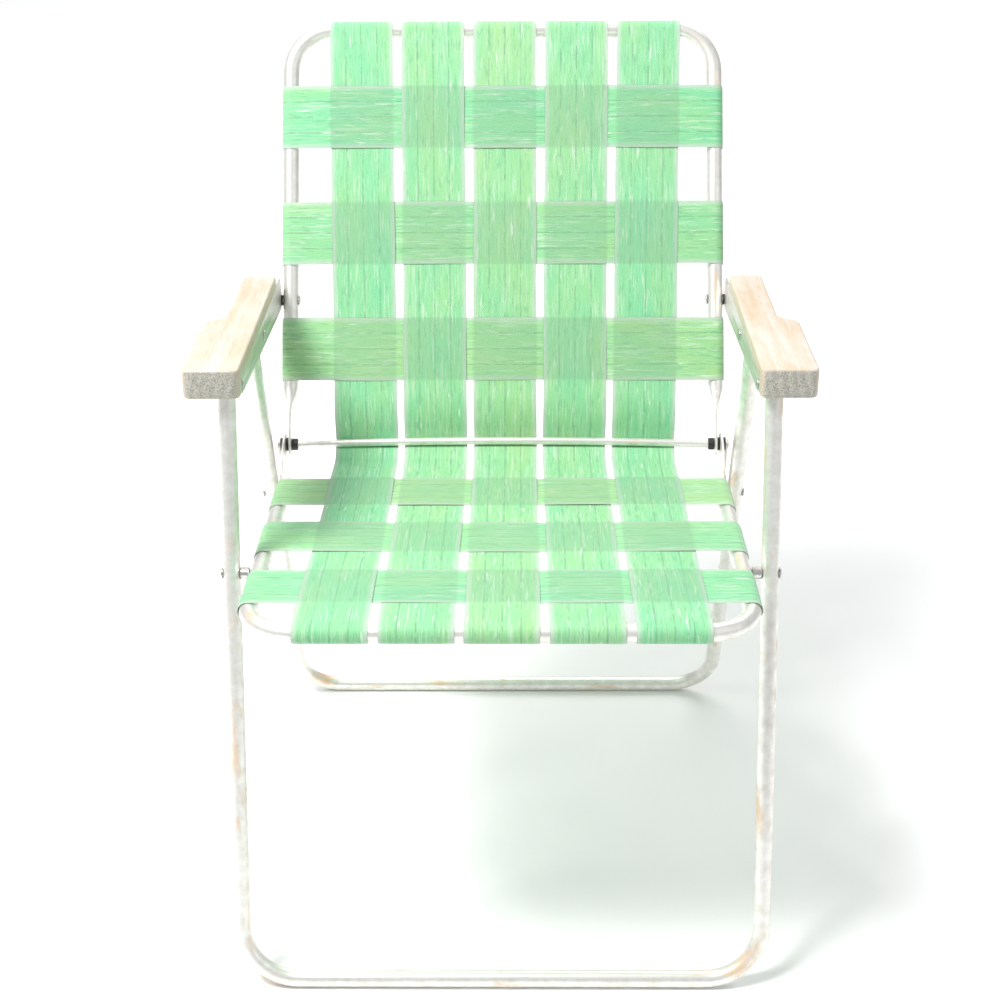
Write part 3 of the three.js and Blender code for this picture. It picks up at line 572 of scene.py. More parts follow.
def chair_webbing(mint, spring):
    """Woven polypropylene chair webbing: flat green yarn in four lengthwise bands, pale heather
    streaks where it is worn, grey selvedges, and painted shade where two straps cross, in place
    of the light that a single layer lets through."""
    material, tree, shader = finish_of("woven_polypropylene_webbing", {
        "IOR": 1.49, "Sheen Weight": 0.25, "Sheen Roughness": 0.4})
    thread = node(tree, "ShaderNodeAttribute", attribute_name="thread").outputs["Vector"]
    dye = node(tree, "ShaderNodeAttribute", attribute_name="dye").outputs["Fac"]
    painted_crossing_shade = node(tree, "ShaderNodeAttribute", attribute_name="painted_crossing_shade").outputs["Fac"]
    parts = node(tree, "ShaderNodeSeparateXYZ", {0: thread})
    across, run = parts.outputs["X"], parts.outputs["Y"]
    # The dye drifts in patches about 40 mm wide and 110 mm long, and the lines between the
    # bands fade in and out in patches of 8 by 14 mm
    drift, fading = (
        node(tree, "ShaderNodeTexNoise", {
            "Vector": node(tree, "ShaderNodeMapping", {
                "Vector": thread, "Scale": scale}).outputs[0],
            "Scale": 1.0, "Detail": 3.0, "Roughness": 0.55}).outputs["Fac"]
        for scale in ((26.0, 9.0, 9.0), (120.0, 70.0, 70.0))
    )
    hue = node(tree, "ShaderNodeMath", {0: drift, 1: 0.9, 2: -0.45},
               operation="MULTIPLY_ADD").outputs[0]
    hue = node(tree, "ShaderNodeMath", {0: hue, 1: dye}, operation="ADD",
               use_clamp=True).outputs[0]
    yarn = node(tree, "ShaderNodeMix", {0: hue, 6: linear(mint), 7: linear(spring)},
                data_type="RGBA").outputs[2]
    # Wear: pale heather streaks about 2 mm wide and 45 mm long, darker ones 17 mm long,
    # picked fibres and dust in 1 mm specks, and bare scuffs 4 mm wide and 30 mm long
    for scale, detail, low, high, most, over in (
        ((520.0, 22.0, 22.0), 3.0, 0.5, 0.7, 0.5, "#d9ead6"),
        ((420.0, 60.0, 60.0), 3.0, 0.52, 0.7, 0.5, "#6fae84"),
        ((900.0, 900.0, 900.0), 2.0, 0.48, 0.66, 0.3, "#5e8f70"),
        ((260.0, 30.0, 30.0), 2.0, 0.64, 0.74, 0.6, "#e9f0e5"),
    ):
        cells = node(tree, "ShaderNodeMapping", {"Vector": thread, "Scale": scale}).outputs[0]
        cells = node(tree, "ShaderNodeTexNoise", {
            "Vector": cells, "Scale": 1.0, "Detail": detail,
            "Roughness": 0.55}).outputs["Fac"]
        share = node(tree, "ShaderNodeMapRange", {
            "Value": cells, "From Min": low, "From Max": high, "To Max": most},
            interpolation_type="SMOOTHSTEP").outputs[0]
        yarn = node(tree, "ShaderNodeMix", {0: share, 6: yarn, 7: over},
                    data_type="RGBA").outputs[2]
    # Four bands, 19 mm wide, parted by a darker line that also darkens the selvedges
    band = node(tree, "ShaderNodeMath", {0: across, 1: 0.01905},
                operation="PINGPONG").outputs[0]
    line = node(tree, "ShaderNodeMapRange", {
        "Value": band, "From Min": 0.0004, "From Max": 0.0013, "To Min": 0.42, "To Max": 0.0},
        interpolation_type="SMOOTHSTEP").outputs[0]
    other = node(tree, "ShaderNodeMapRange", {
        "Value": band, "From Min": 0.01775, "From Max": 0.01865, "To Max": 0.42},
        interpolation_type="SMOOTHSTEP").outputs[0]
    line = node(tree, "ShaderNodeMath", {0: line, 1: other}, operation="MAXIMUM").outputs[0]
    faded = node(tree, "ShaderNodeMapRange", {
        "Value": fading, "From Min": 0.36, "From Max": 0.56, "To Max": 1.0},
        interpolation_type="SMOOTHSTEP").outputs[0]
    broken = node(tree, "ShaderNodeMath", {0: line, 1: faded}, operation="MULTIPLY").outputs[0]
    edge = node(tree, "ShaderNodeMath", {0: across}, operation="ABSOLUTE").outputs[0]
    selvedge = node(tree, "ShaderNodeMapRange", {
        "Value": edge, "From Min": 0.0305, "From Max": 0.0372, "To Max": 0.6},
        interpolation_type="SMOOTHSTEP").outputs[0]
    # Painted shade where another strap lies across: a double layer lets less light through, so
    # the strap is painted darker there
    crossing = node(tree, "ShaderNodeMath", {0: painted_crossing_shade, 1: 0.36}, operation="MULTIPLY").outputs[0]
    # Plain weave: 2.2 mm warp ribs and 1.9 mm picks, about twice the real ones, which are
    # too fine to show
    warp, pick = (
        node(tree, "ShaderNodeMath", {
            0: node(tree, "ShaderNodeMath", {0: way, 1: 2 * math.pi / pitch},
                    operation="MULTIPLY").outputs[0]}, operation="SINE").outputs[0]
        for way, pitch in ((across, 0.0022), (run, 0.0038))
    )
    knit = node(tree, "ShaderNodeMath", {0: warp, 1: pick}, operation="MULTIPLY").outputs[0]
    rib = node(tree, "ShaderNodeMath", {0: warp}, operation="ABSOLUTE").outputs[0]
    weave = node(tree, "ShaderNodeMath", {0: knit, 1: 0.6, 2: rib},
                 operation="MULTIPLY_ADD").outputs[0]
    # Painted shade in the weave's valleys: darker where the bump height is low
    painted_valley_shade = node(tree, "ShaderNodeMapRange", {
        "Value": weave, "From Min": -0.1, "From Max": 0.5, "To Min": 0.3,
        "To Max": 0.0}).outputs[0]
    for share, over in (
        (broken, "#58866a"), (selvedge, "#cdd2cb"), (crossing, "#769c7c"), (painted_valley_shade, "#5f9272"),
    ):
        yarn = node(tree, "ShaderNodeMix", {0: share, 6: yarn, 7: over},
                    data_type="RGBA").outputs[2]
    rough = node(tree, "ShaderNodeMath", {
        0: drift, 1: 0.2, 2: 0.46}, operation="MULTIPLY_ADD").outputs[0]
    bump = node(tree, "ShaderNodeBump", {
        "Height": weave, "Strength": 0.55, "Distance": 0.0004}).outputs[0]
    feed(tree, shader, {"Base Color": yarn, "Roughness": rough, "Normal": bump})
    return material


def pale_floor(colour):
    """Plain painted floor with a barely uneven matt surface."""
    material, tree, shader = finish_of("painted_floor", {"Base Color": linear(colour)})
    place = node(tree, "ShaderNodeTexCoord").outputs["Object"]
    uneven = node(tree, "ShaderNodeTexNoise", {"Vector": place, "Scale": 3.0}).outputs["Fac"]
    rough = node(tree, "ShaderNodeMath", {
        0: uneven, 1: 0.1, 2: 0.75}, operation="MULTIPLY_ADD").outputs[0]
    feed(tree, shader, {"Roughness": rough})
    return material


FINISHES = {}


def finish(kind):
    """The finish of that name, made when it is first needed."""
    if kind not in FINISHES:
        web = bpy.context.scene.chair_webbing
        makers = {
            "tube": worn_tube, "plate": mill_plate, "rivet": rivet_metal,
            "nylon": black_nylon, "wood": arm_wood,
            "webbing": lambda: chair_webbing(web.mint, web.spring),
        }
        FINISHES[kind] = makers[kind]()
    return FINISHES[kind]


# Meshes


def put_mesh(name, points, faces, finish_kind, attributes=None, sharp=SHARP):
    """A smooth mesh piece from millimetre points, with per-point attributes in metres."""
    mesh = bpy.data.meshes.new(name)
    mesh.from_pydata(to_row(points).tolist(), [], faces)
    for key, values in (attributes or {}).items():
        values = np.asarray(values, np.float32)
        kind = "FLOAT" if values.ndim == 1 else "FLOAT_VECTOR"
        layer = mesh.attributes.new(key, kind, "POINT")
        layer.data.foreach_set("value" if values.ndim == 1 else "vector", values.ravel())
    mesh.validate()
    return show_mesh(name, mesh, finish_kind, sharp)


def show_mesh(name, mesh, finish_kind, sharp=SHARP):
    """Links a mesh as an object at the origin, shaded smooth but for its sharp edges."""
    mesh.polygons.foreach_set("use_smooth", [True] * len(mesh.polygons))
    mesh.set_sharp_from_angle(angle=sharp)
    if finish_kind:
        mesh.materials.clear()
        mesh.materials.append(finish(finish_kind))
    made = bpy.data.objects.new(name, mesh)
    bpy.context.scene.collection.objects.link(made)
    return made


def made_plain(source, name, finish_kind, sharp=SHARP):
    """The evaluated object as a plain mesh piece; the object and its modifiers go."""
    graph = bpy.context.evaluated_depsgraph_get()
    mesh = bpy.data.meshes.new_from_object(source.evaluated_get(graph), depsgraph=graph)
    mesh.name = name
    bpy.data.objects.remove(source)
    return show_mesh(name, mesh, finish_kind, sharp)


def seat_on(piece, body, slot, *nodes):
    """The piece moves with a body and stands for those nodes; its slot is not used."""
    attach(piece, body)
    if nodes:
        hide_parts(*nodes)
    return piece


def skin(rings, count, closed=False):
    """Faces between rings of that many points, each ring joined to the next."""
    faces = []
    for i in range(rings if closed else rings - 1):
        after = (i + 1) % rings
        for k in range(count):
            j = (k + 1) % count
            faces.append((i * count + k, i * count + j, after * count + j, after * count + k))
    return faces


def end_caps(rings, count):
    """One face over the first ring and one over the last."""
    last = (rings - 1) * count
    return [tuple(reversed(range(count))), tuple(range(last, last + count))]


def turned_over(faces):
    return [tuple(reversed(f)) for f in faces]


def outward(points, faces):
    """The faces of a closed mesh, turned over where they look inwards."""
    total = 0.0
    for f in faces:
        a = points[f[0]]
        for i in range(1, len(f) - 1):
            total += a @ np.cross(points[f[i]], points[f[i + 1]])
    return turned_over(faces) if total < 0 else faces


def lofted(stations, plane_normal, facets):
    """Points, faces and the `lie` of a tube drawn through rings. Each ring is its middle, the
    half width along the bend plane's normal, the half thickness, and how square it is."""
    middles = np.array([s[0] for s in stations], float)
    ahead = np.gradient(middles, axis=0)
    ahead /= np.linalg.norm(ahead, axis=1)[:, None]
    turn = (np.arange(facets) + 0.5) * 2 * math.pi / facets
    run = np.concatenate([[0], np.cumsum(np.linalg.norm(np.diff(middles, axis=0), axis=1))])
    points, lie = [], []
    for (middle, wide, thick, square), forward, length in zip(stations, ahead, run):
        across = plane_normal - forward * (plane_normal @ forward)
        across /= np.linalg.norm(across)
        normal = np.cross(across, forward)
        power = ROUND / square
        c = np.sign(np.cos(turn)) * np.abs(np.cos(turn)) ** power
        s = np.sign(np.sin(turn)) * np.abs(np.sin(turn)) ** power
        points.append(middle + np.outer(c * thick, normal) + np.outer(s * wide, across))
        lie.append(np.stack([
            np.cos(turn) * TUBE_RADIUS, np.sin(turn) * TUBE_RADIUS,
            np.full(facets, length)], axis=1))
    points = np.concatenate(points)
    faces = skin(len(stations), facets) + end_caps(len(stations), facets)
    return points, outward(points, faces), np.concatenate(lie) * MM


def arc(before, corner, after, radius, steps=16):
    """Points of a bend between two straight runs."""
    a = (before - corner) / np.linalg.norm(before - corner)
    b = (after - corner) / np.linalg.norm(after - corner)
    half = math.acos(np.clip(a @ b, -1, 1)) / 2
    middle = (a + b) / np.linalg.norm(a + b)
    centre = corner + middle * (radius / math.sin(half))
    start = corner + a * (radius / math.tan(half)) - centre
    stop = corner + b * (radius / math.tan(half)) - centre
    sweep = math.pi - 2 * half
    shares = np.linspace(0, 1, steps + 1)
    return [
        centre + (start * math.sin((1 - t) * sweep) + stop * math.sin(t * sweep))
        / math.sin(sweep) for t in shares
    ]


def straight(start, end, step=20.0):
    """Points from start towards end, without the end."""
    count = max(2, int(np.linalg.norm(end - start) / step))
    return [start + (end - start) * (i / count) for i in range(count)]


def u_path(left_end, left_corner, right_corner, right_end, radius):
    """Points of a U with two bends, evenly filled."""
    left = arc(left_end, left_corner, right_corner, radius)
    right = arc(left_corner, right_corner, right_end, radius)
    return [
        *straight(left_end, left[0]), *left, *straight(left[-1], right[0])[1:], *right,
        *straight(right[-1], right_end)[1:], right_end,
    ]


def round_ring(middle):
    return (middle, TUBE_RADIUS, TUBE_RADIUS, ROUND)


def funnel_ring(middle, share):
    """A ring between the flat tab at share 0 and the round tube at share 1."""
    s = float(smooth_step(share))
    wide = TAB_HALF_WIDTH + (TUBE_RADIUS - TAB_HALF_WIDTH) * s
    thick = TAB_HALF_THICKNESS + (TUBE_RADIUS - TAB_HALF_THICKNESS) * s
    return (middle, wide, thick, FLAT - (FLAT - ROUND) * s)


def tab_rings(place, tab, shares):
    """Rings of a crimped tab, from its end to where its funnel starts."""
    return [
        (place(-TAB_END + share * (tab + TAB_END)), TAB_HALF_WIDTH * w, TAB_HALF_THICKNESS, FLAT)
        for share, w in shares
    ]


def funnel_rings(place, tab, funnel):
    return [funnel_ring(place(tab + funnel * t), t) for t in np.linspace(0, 1, FUNNEL_RINGS)]


# Leg frames come from one tree: a line through four corners, its bends filleted, swept with
# a round section


def bent_tube_tree():
    """Sweeps a tube along a line with bent corners and stores where each point lies on it."""
    tree = bpy.data.node_groups.new("Bent tube", "GeometryNodeTree")
    sockets = (
        ("Line", "NodeSocketGeometry"), ("Tube Radius", "NodeSocketFloat"),
        ("Bend Radius", "NodeSocketFloat"), ("Facets", "NodeSocketInt"),
        ("Finish", "NodeSocketMaterial"),
    )
    for label, kind in sockets:
        tree.interface.new_socket(label, in_out="INPUT", socket_type=kind)
    tree.interface.new_socket("Tube", in_out="OUTPUT", socket_type="NodeSocketGeometry")
    given = node(tree, "NodeGroupInput").outputs
    line = node(tree, "GeometryNodeMeshToCurve", {"Mesh": given["Line"]}).outputs[0]
    line = node(tree, "GeometryNodeFilletCurve", {
        "Curve": line, "Count": 16, "Radius": given["Bend Radius"], "Limit Radius": True},
        mode="POLY").outputs[0]
    line = node(tree, "GeometryNodeResampleCurve", {"Curve": line, "Length": 0.006},
                mode="LENGTH").outputs[0]
    length = node(tree, "GeometryNodeSplineParameter").outputs["Length"]
    line = node(tree, "GeometryNodeStoreNamedAttribute", {
        "Geometry": line, "Name": "run", "Value": length},
        data_type="FLOAT", domain="POINT").outputs[0]
    ring = node(tree, "GeometryNodeCurvePrimitiveCircle", {
        "Resolution": given["Facets"], "Radius": given["Tube Radius"]}).outputs["Curve"]
    ring = node(tree, "GeometryNodeStoreNamedAttribute", {
        "Geometry": ring, "Name": "round", "Value": node(
            tree, "GeometryNodeInputPosition").outputs[0]},
        data_type="FLOAT_VECTOR", domain="POINT").outputs[0]
    tube = node(tree, "GeometryNodeCurveToMesh", {
        "Curve": line, "Profile Curve": ring, "Fill Caps": True}).outputs[0]
    around = node(tree, "ShaderNodeSeparateXYZ", {0: node(
        tree, "GeometryNodeInputNamedAttribute", {"Name": "round"},
        data_type="FLOAT_VECTOR").outputs["Attribute"]}).outputs
    run = node(tree, "GeometryNodeInputNamedAttribute", {"Name": "run"},
               data_type="FLOAT").outputs["Attribute"]
    lie = node(tree, "ShaderNodeCombineXYZ", {
        "X": around["X"], "Y": around["Y"], "Z": run}).outputs[0]
    tube = node(tree, "GeometryNodeStoreNamedAttribute", {
        "Geometry": tube, "Name": "lie", "Value": lie},
        data_type="FLOAT_VECTOR", domain="POINT").outputs[0]
    tube = node(tree, "GeometryNodeRealizeInstances", {"Geometry": tube}).outputs[0]
    tube = node(tree, "GeometryNodeSetMaterial", {
        "Geometry": tube, "Material": given["Finish"]}).outputs[0]
    node(tree, "NodeGroupOutput", {0: tube})
    return tree


def run_tree(source, tree, values):
    """Sets a tree's inputs by their sockets' identifiers and gives it to the object."""
    modifier = source.modifiers.new(tree.name, "NODES")
    modifier.node_group = tree
    for item in tree.interface.items_tree:
        if item.in_out == "INPUT" and item.name in values:
            modifier[item.identifier] = values[item.name]
    return modifier


def leg_frame(name, tree, top, foot, past, bend, facets):
    """One U of tube: a leg on each side and the foot rail between them."""
    end = along(top, foot, -past)
    corners = [at(-LEG_X, end), at(-LEG_X, foot), at(LEG_X, foot), at(LEG_X, end)]
    mesh = bpy.data.meshes.new(name + "_line")
    mesh.from_pydata(to_row(corners).tolist(), [(0, 1), (1, 2), (2, 3)], [])
    line = bpy.data.objects.new(name + "_line", mesh)
    bpy.context.scene.collection.objects.link(line)
    run_tree(line, tree, {
        "Tube Radius": TUBE_RADIUS * MM, "Bend Radius": bend, "Facets": facets,
        "Finish": finish("tube")})
    return made_plain(line, name, None)


# Webbing


def alternate(i):
    return 1.0 if i % 2 == 0 else -1.0


def wrap(u, sense, steps=14):
    """A tail behind a tube and half a turn round it, as places [along, ahead]."""
    turn = np.linspace(0, math.pi, steps + 1)
    arc_points = zip(u - sense * WRAP_RADIUS * np.sin(turn), -WRAP_RADIUS * np.cos(turn))
    return [(u + sense * WEB_TAIL, -WRAP_RADIUS), *arc_points]


def weave(places, first_over, width):
    """Over and under the straps that lie across."""
    reach = math.copysign(width / 2 + LAYER_MARGIN, places[1] - places[0])
    run = []
    for i, u in enumerate(places):
        v = WEAVE_PLANE + first_over * alternate(i) * LAYER
        run += [(u - reach, v), (u + reach, v)]
    return run


def eased(points, step=2.5, cuts=3):
    """The line with its corners cut round and its points set evenly, ends kept."""
    line = np.asarray(points, float)
    for _ in range(cuts):
        near = line[:-1] * 0.75 + line[1:] * 0.25
        far = line[:-1] * 0.25 + line[1:] * 0.75
        line = np.concatenate([line[:1], np.stack([near, far], 1).reshape(-1, 3), line[-1:]])
    run = np.concatenate([[0], np.cumsum(np.linalg.norm(np.diff(line, axis=0), axis=1))])
    places = np.linspace(0, run[-1], int(run[-1] / step) + 1)
    return np.stack([np.interp(places, run, line[:, k]) for k in range(3)], 1), places


def crossed(distances, half):
    """1 where a strap lies across within half its width, 0 past it."""
    near = np.min(np.abs(distances), axis=0)
    return 1.0 - smooth_step((near - half + CROSSING_BLUR) / (2 * CROSSING_BLUR))


def strap(name, line, run, across, crossing_shade_mask, dye, phase, ribs=20):
    """A closed band swept along a line: thicker at its four yarn bands, thin and round at its
    edges, with a slight lengthwise wander as tensioned webbing has."""
    web = bpy.context.scene.chair_webbing
    half, thickness = web.width / MM / 2, web.thickness / MM
    ahead = np.gradient(line, axis=0)
    ahead /= np.linalg.norm(ahead, axis=1)[:, None]
    normal = np.cross(across, ahead)
    normal /= np.linalg.norm(normal, axis=1)[:, None]
    shares = np.sin(np.linspace(-math.pi / 2, math.pi / 2, ribs + 1) * RIB_CROWDING) / math.sin(
        math.pi / 2 * RIB_CROWDING)
    rib = 0.5 * thickness * (1 - BAND_GROOVE * np.abs(np.cos(shares * 2 * math.pi)) ** 6)
    rib[[0, -1]] *= EDGE_SHARE
    rib[[1, -2]] *= NEXT_SHARE
    (slow, slow_length), (quick, quick_length) = WANDER
    wander = slow * np.sin(run / slow_length + phase)
    wander = wander + quick * np.sin(run / quick_length + 2 * phase)
    rings, thread = [], []
    for side, order in ((1, range(ribs + 1)), (-1, reversed(range(ribs + 1)))):
        for j in order:
            offset = shares[j] * half + wander * abs(shares[j]) ** 3
            rings.append(line + offset[:, None] * across + side * rib[j] * normal)
            thread.append(np.stack([
                np.full(len(run), shares[j] * half), run + side * UNDERSIDE_RUN,
                np.full(len(run), phase * STRAP_RUN)], 1))
    count = len(rings)
    points = np.stack(rings, 1).reshape(-1, 3)
    faces = skin(len(run), count)
    last = (len(run) - 1) * count
    for end, turned_round in ((0, True), (last, False)):
        for j in range(ribs):
            a, b = end + j, end + j + 1
            c, d = end + count - 2 - j, end + count - 1 - j
            faces.append((d, c, b, a) if turned_round else (a, b, c, d))
    return put_mesh(name, points, outward(points, faces), "webbing", {
        "thread": np.stack(thread, 1).reshape(-1, 3) * MM,
        "painted_crossing_shade": np.repeat(crossing_shade_mask, count), "dye": np.full(len(points), dye)},
        sharp=SHARP_STRAP)


def back_column(column, height):
    share = height / BACK_LENGTH
    return LONG_SHIFT + column * (LONG_PITCH_ROD + (LONG_PITCH_TOP - LONG_PITCH_ROD) * share)


def seat_column(column, ahead):
    share = ahead / SEAT_LENGTH
    return LONG_SHIFT + column * (LONG_PITCH_ROD + (LONG_PITCH_FRONT - LONG_PITCH_ROD) * share)


def seat_dip(x, ahead):
    share = np.clip(ahead / SEAT_LENGTH, 0, 1)
    return SEAT_SAG * np.clip(1 - (x / RAIL_X) ** 2, 0, 1) * np.sin(math.pi * share)


def back_dip(x, height):
    share = np.clip((height - BACK_SAG_FROM) / (BACK_LENGTH - BACK_SAG_FROM), 0, 1)
    return BACK_SAG * np.clip(1 - (x / RAIL_X) ** 2, 0, 1) * np.sin(math.pi * share)


def long_strap(i):
    """One strap from the top rail down the back, behind the rod and along the seat."""
    column = COLUMNS[i]
    half = bpy.context.scene.chair_webbing.width / MM / 2
    rod_x = back_column(column, 0.0)
    rise = ROD_BOW * (1 - (rod_x / ROD_HALF) ** 2)
    back_run = [
        *wrap(BACK_LENGTH, -1), *weave(BACK_CROSSES, -BACK_WEAVE * alternate(i), 2 * half),
        BACK_LEAVES,
    ]
    line = [at(back_column(column, u), on_back(u, v)) for u, v in back_run]
    clear = ROD_RADIUS + ROD_CLEARANCE
    for turn in np.radians(np.linspace(*ROD_TURN)):
        place = on_back(rise - clear * math.sin(turn), -clear * math.cos(turn))
        line.append(at(rod_x, place))
    seat_run = [
        *wrap(SEAT_LENGTH, -1), *weave(SEAT_CROSSES, -SEAT_WEAVE * alternate(i), 2 * half),
        *SEAT_LEAVES,
    ]
    line += [at(seat_column(column, u), on_seat(u, v - ROD_OVER_RAIL))
             for u, v in reversed(seat_run)]
    line, run = eased(line)
    offset = line[:, 1:] - ROD
    height, ahead = offset @ BACK_UP, offset @ SEAT_AHEAD
    on_back_front = (offset @ BACK_AHEAD > FACE_OVER_AXIS) & (height > BACK_FACE_FROM)
    on_seat_top = (offset @ SEAT_UP > -ROD_OVER_RAIL + FACE_OVER_AXIS) & (ahead > SEAT_FACE_FROM)
    dip = np.where(on_back_front, back_dip(line[:, 0], height), 0)
    line[:, 1:] -= dip[:, None] * BACK_AHEAD
    dip = np.where(on_seat_top, seat_dip(line[:, 0], ahead), 0)
    line[:, 1:] -= dip[:, None] * SEAT_UP
    # Where the cross straps lie over or under this one, for the painted crossing shade
    crossing_shade_mask = crossed(np.array([height - u for u in BACK_CROSSES]), half) * on_back_front
    crossing_shade_mask += crossed(np.array([ahead - u for u in SEAT_CROSSES]), half) * on_seat_top
    made = strap(f"long_strap_{i + 1}", line, run, np.array([1.0, 0.0, 0.0]), crossing_shade_mask,
                 dye=0.35 + 0.2 * (1 - abs(column) / 2), phase=1.7 * i)
    to_row(at(0, on_back(20.0)))
    to_row(at(0, on_seat(20.0, -8.0)))
    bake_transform(made)
    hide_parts(f"back_strap_{i + 1}", f"seat_strap_{i + 1}")


def cross_strap(part, i, place, crossings, on_column, first_over, dip, up, width_direction):
    """One strap across the back or the seat, wrapped round both side tubes."""
    half = bpy.context.scene.chair_webbing.width / MM / 2
    columns = [on_column(c, crossings[i]) for c in COLUMNS]
    section = [*wrap(-RAIL_X, 1), *weave(columns, first_over * alternate(i), 2 * half),
               *reversed(wrap(RAIL_X, -1))]
    line, run = eased([np.array([x, *place(crossings[i], v)]) for x, v in section])
    front = (line[:, 1:] - place(crossings[i], 0.0)) @ up > FACE_OVER_AXIS
    line[:, 1:] -= np.where(front, dip(line[:, 0], crossings[i]), 0)[:, None] * up
    # Where the long straps lie over or under this one, for the painted crossing shade
    crossing_shade_mask = crossed(np.array([line[:, 0] - c for c in columns]), half) * front
    made = strap(f"{part}_cross_strap_{i + 1}_woven", line, run, width_direction, crossing_shade_mask,
                 dye=0.3 + 0.2 * i, phase=4.1 * i + (0.9 if part == "seat" else 0.2))
    seat_on(made, part, "webbing", f"{part}_cross_strap_{i + 1}")


# Wooden arms


def in_arm(x, y, z):
    """A place on the arm, square to its slope, in the drawing."""
    c, s = math.cos(ARM_TILT), math.sin(ARM_TILT)
    return np.array([x, ARM_FRONT_PIVOT[0] + y * c - z * s, ARM_FRONT_PIVOT[1] + y * s + z * c])


def curve_through(points, steps=6):
    """Points of the Bezier curve with these control points."""
    shares = np.linspace(0, 1, steps + 1)
    level = [np.outer(np.ones(steps + 1), np.asarray(p, float)) for p in points]
    while len(level) > 1:
        level = [near * (1 - shares)[:, None] + far * shares[:, None]
                 for near, far in zip(level, level[1:])]
    return level[0]


def arm_outline(corner):
    """The arm seen from above: [out from its inner side, along it], anticlockwise."""
    front, rear = -ARM_OVERHANG, ARM_LENGTH - ARM_OVERHANG
    wide, narrow, r = ARM_FRONT_WIDTH, ARM_REAR_WIDTH, corner
    shoulder = [front + share * ARM_LENGTH for share in ARM_SHOULDER_SHARES]
    middle = sum(shoulder) / 2
    runs = [
        curve_through([(0, front + r), (0, front), (r, front)]),
        curve_through([(wide - r, front), (wide, front), (wide, front + r)]),
        [(wide, front + (shoulder[0] - front) * t) for t in (0.3, 0.6)],
        curve_through([(wide, shoulder[0]), (wide, middle), (narrow, middle),
                       (narrow, shoulder[1])], steps=20),
        [(narrow, shoulder[1] + (rear - shoulder[1]) * t) for t in (0.3, 0.6)],
        curve_through([(narrow, rear - r), (narrow, rear), (narrow - r, rear)]),
        curve_through([(r, rear), (0, rear), (0, rear - r)]),
        [(0, rear + (front - rear) * t) for t in (0.25, 0.5, 0.75)],
    ]
    return np.concatenate([np.asarray(run, float) for run in runs])


def wooden_arm(name, side):
    """The arm with its edges eased, cut out underneath for the angle and the legs' ends."""
    arm = bpy.context.scene.chair_arm
    edge = arm.edge / MM
    outline = arm_outline(arm.corner / MM)
    step = np.roll(outline, -1, 0) - np.roll(outline, 1, 0)
    inward = np.stack([-step[:, 1], step[:, 0]], 1) / np.linalg.norm(step, axis=1)[:, None]
    turns = np.linspace(0, math.pi / 2, ARM_EDGE_RINGS)
    bottom, top = ARM_TOP - ARM_THICKNESS, ARM_TOP
    rings = [(edge * (1 - math.sin(t)), bottom + edge * (1 - math.cos(t))) for t in turns]
    rings += [(edge * (1 - math.cos(t)), top - edge * (1 - math.sin(t))) for t in turns]
    points = [
        in_arm(ARM_INNER + x, y, z) * [side, 1, 1]
        for inset, z in rings for x, y in outline + inward * inset
    ]
    faces = skin(len(rings), len(outline)) + end_caps(len(rings), len(outline))
    nose, past_end, roof = ARM_NOSE - ARM_OVERHANG, 2 * ARM_LENGTH, ARM_TOP - ARM_ROUTED_ABOVE
    routed = [
        in_arm(ARM_INNER + x * ARM_ROUTED_WIDTH, y, z) * [side, 1, 1]
        for z in (roof - 2 * ARM_THICKNESS, roof)
        for x, y in ((-1, nose), (1, nose), (1, past_end), (-1, past_end))
    ]
    box = [(0, 3, 2, 1), (4, 5, 6, 7), (0, 1, 5, 4), (1, 2, 6, 5), (2, 3, 7, 6), (3, 0, 4, 7)]
    if side < 0:
        faces, box = turned_over(faces), turned_over(box)
    made = put_mesh(f"arm_{name}_wood", points, faces, "wood")
    cutter = put_mesh(f"arm_{name}_routed", routed, box, "wood")
    routing = made.modifiers.new("Routed", "BOOLEAN")
    routing.object, routing.operation, routing.solver = cutter, "DIFFERENCE", "EXACT"
    made = made_plain(made, f"arm_{name}_wood", "wood", SHARP_WOOD)
    bpy.data.objects.remove(cutter)
    seat_on(made, f"arm_assembly_{name}", "wood", f"arm_{name}")


def eased_copy(source_name, name, kind, body, slot):
    """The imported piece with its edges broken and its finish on."""
    source = frame["nodes"][source_name].data
    shell = bmesh.new()
    shell.from_mesh(source)
    bmesh.ops.remove_doubles(shell, verts=shell.verts, dist=1e-5)
    bmesh.ops.dissolve_limit(shell, angle_limit=math.radians(1.0), verts=shell.verts,
                             edges=shell.edges)
    shell.verts.index_update()
    mesh = bpy.data.meshes.new(name)
    mesh.from_pydata([v.co[:] for v in shell.verts], [],
                     [[v.index for v in f.verts] for f in shell.faces])
    shell.free()
    made = show_mesh(name, mesh, kind)
    broken = made.modifiers.new("Broken edges", "BEVEL")
    broken.width, broken.segments, broken.limit_method = BAR_EDGE * MM, 2, "ANGLE"
    broken.angle_limit = BAR_EDGE_ANGLE
    made = made_plain(made, name, kind, SHARP_BAR)
    seat_on(made, body, slot, source_name)


# Pivots: turned shapes set on points by one tree, one mesh for each body


def turned_mesh(name, profile, facets=28):
    """A shape turned round the X axis from [radius, distance] places in millimetres."""
    turn = np.arange(facets) * 2 * math.pi / facets
    closed = profile[0] == profile[-1]
    rings = profile[:-1] if closed else profile
    points = np.array([
        (distance, radius * math.cos(t), radius * math.sin(t))
        for radius, distance in rings for t in turn
    ])
    faces = skin(len(rings), facets, closed)
    if not closed:
        faces += end_caps(len(rings), facets)
    mesh = bpy.data.meshes.new(name)
    mesh.from_pydata((points * MM).tolist(), [], outward(points, faces))
    mesh.polygons.foreach_set("use_smooth", [True] * len(mesh.polygons))
    mesh.set_sharp_from_angle(angle=SHARP_TURNED)
    return mesh


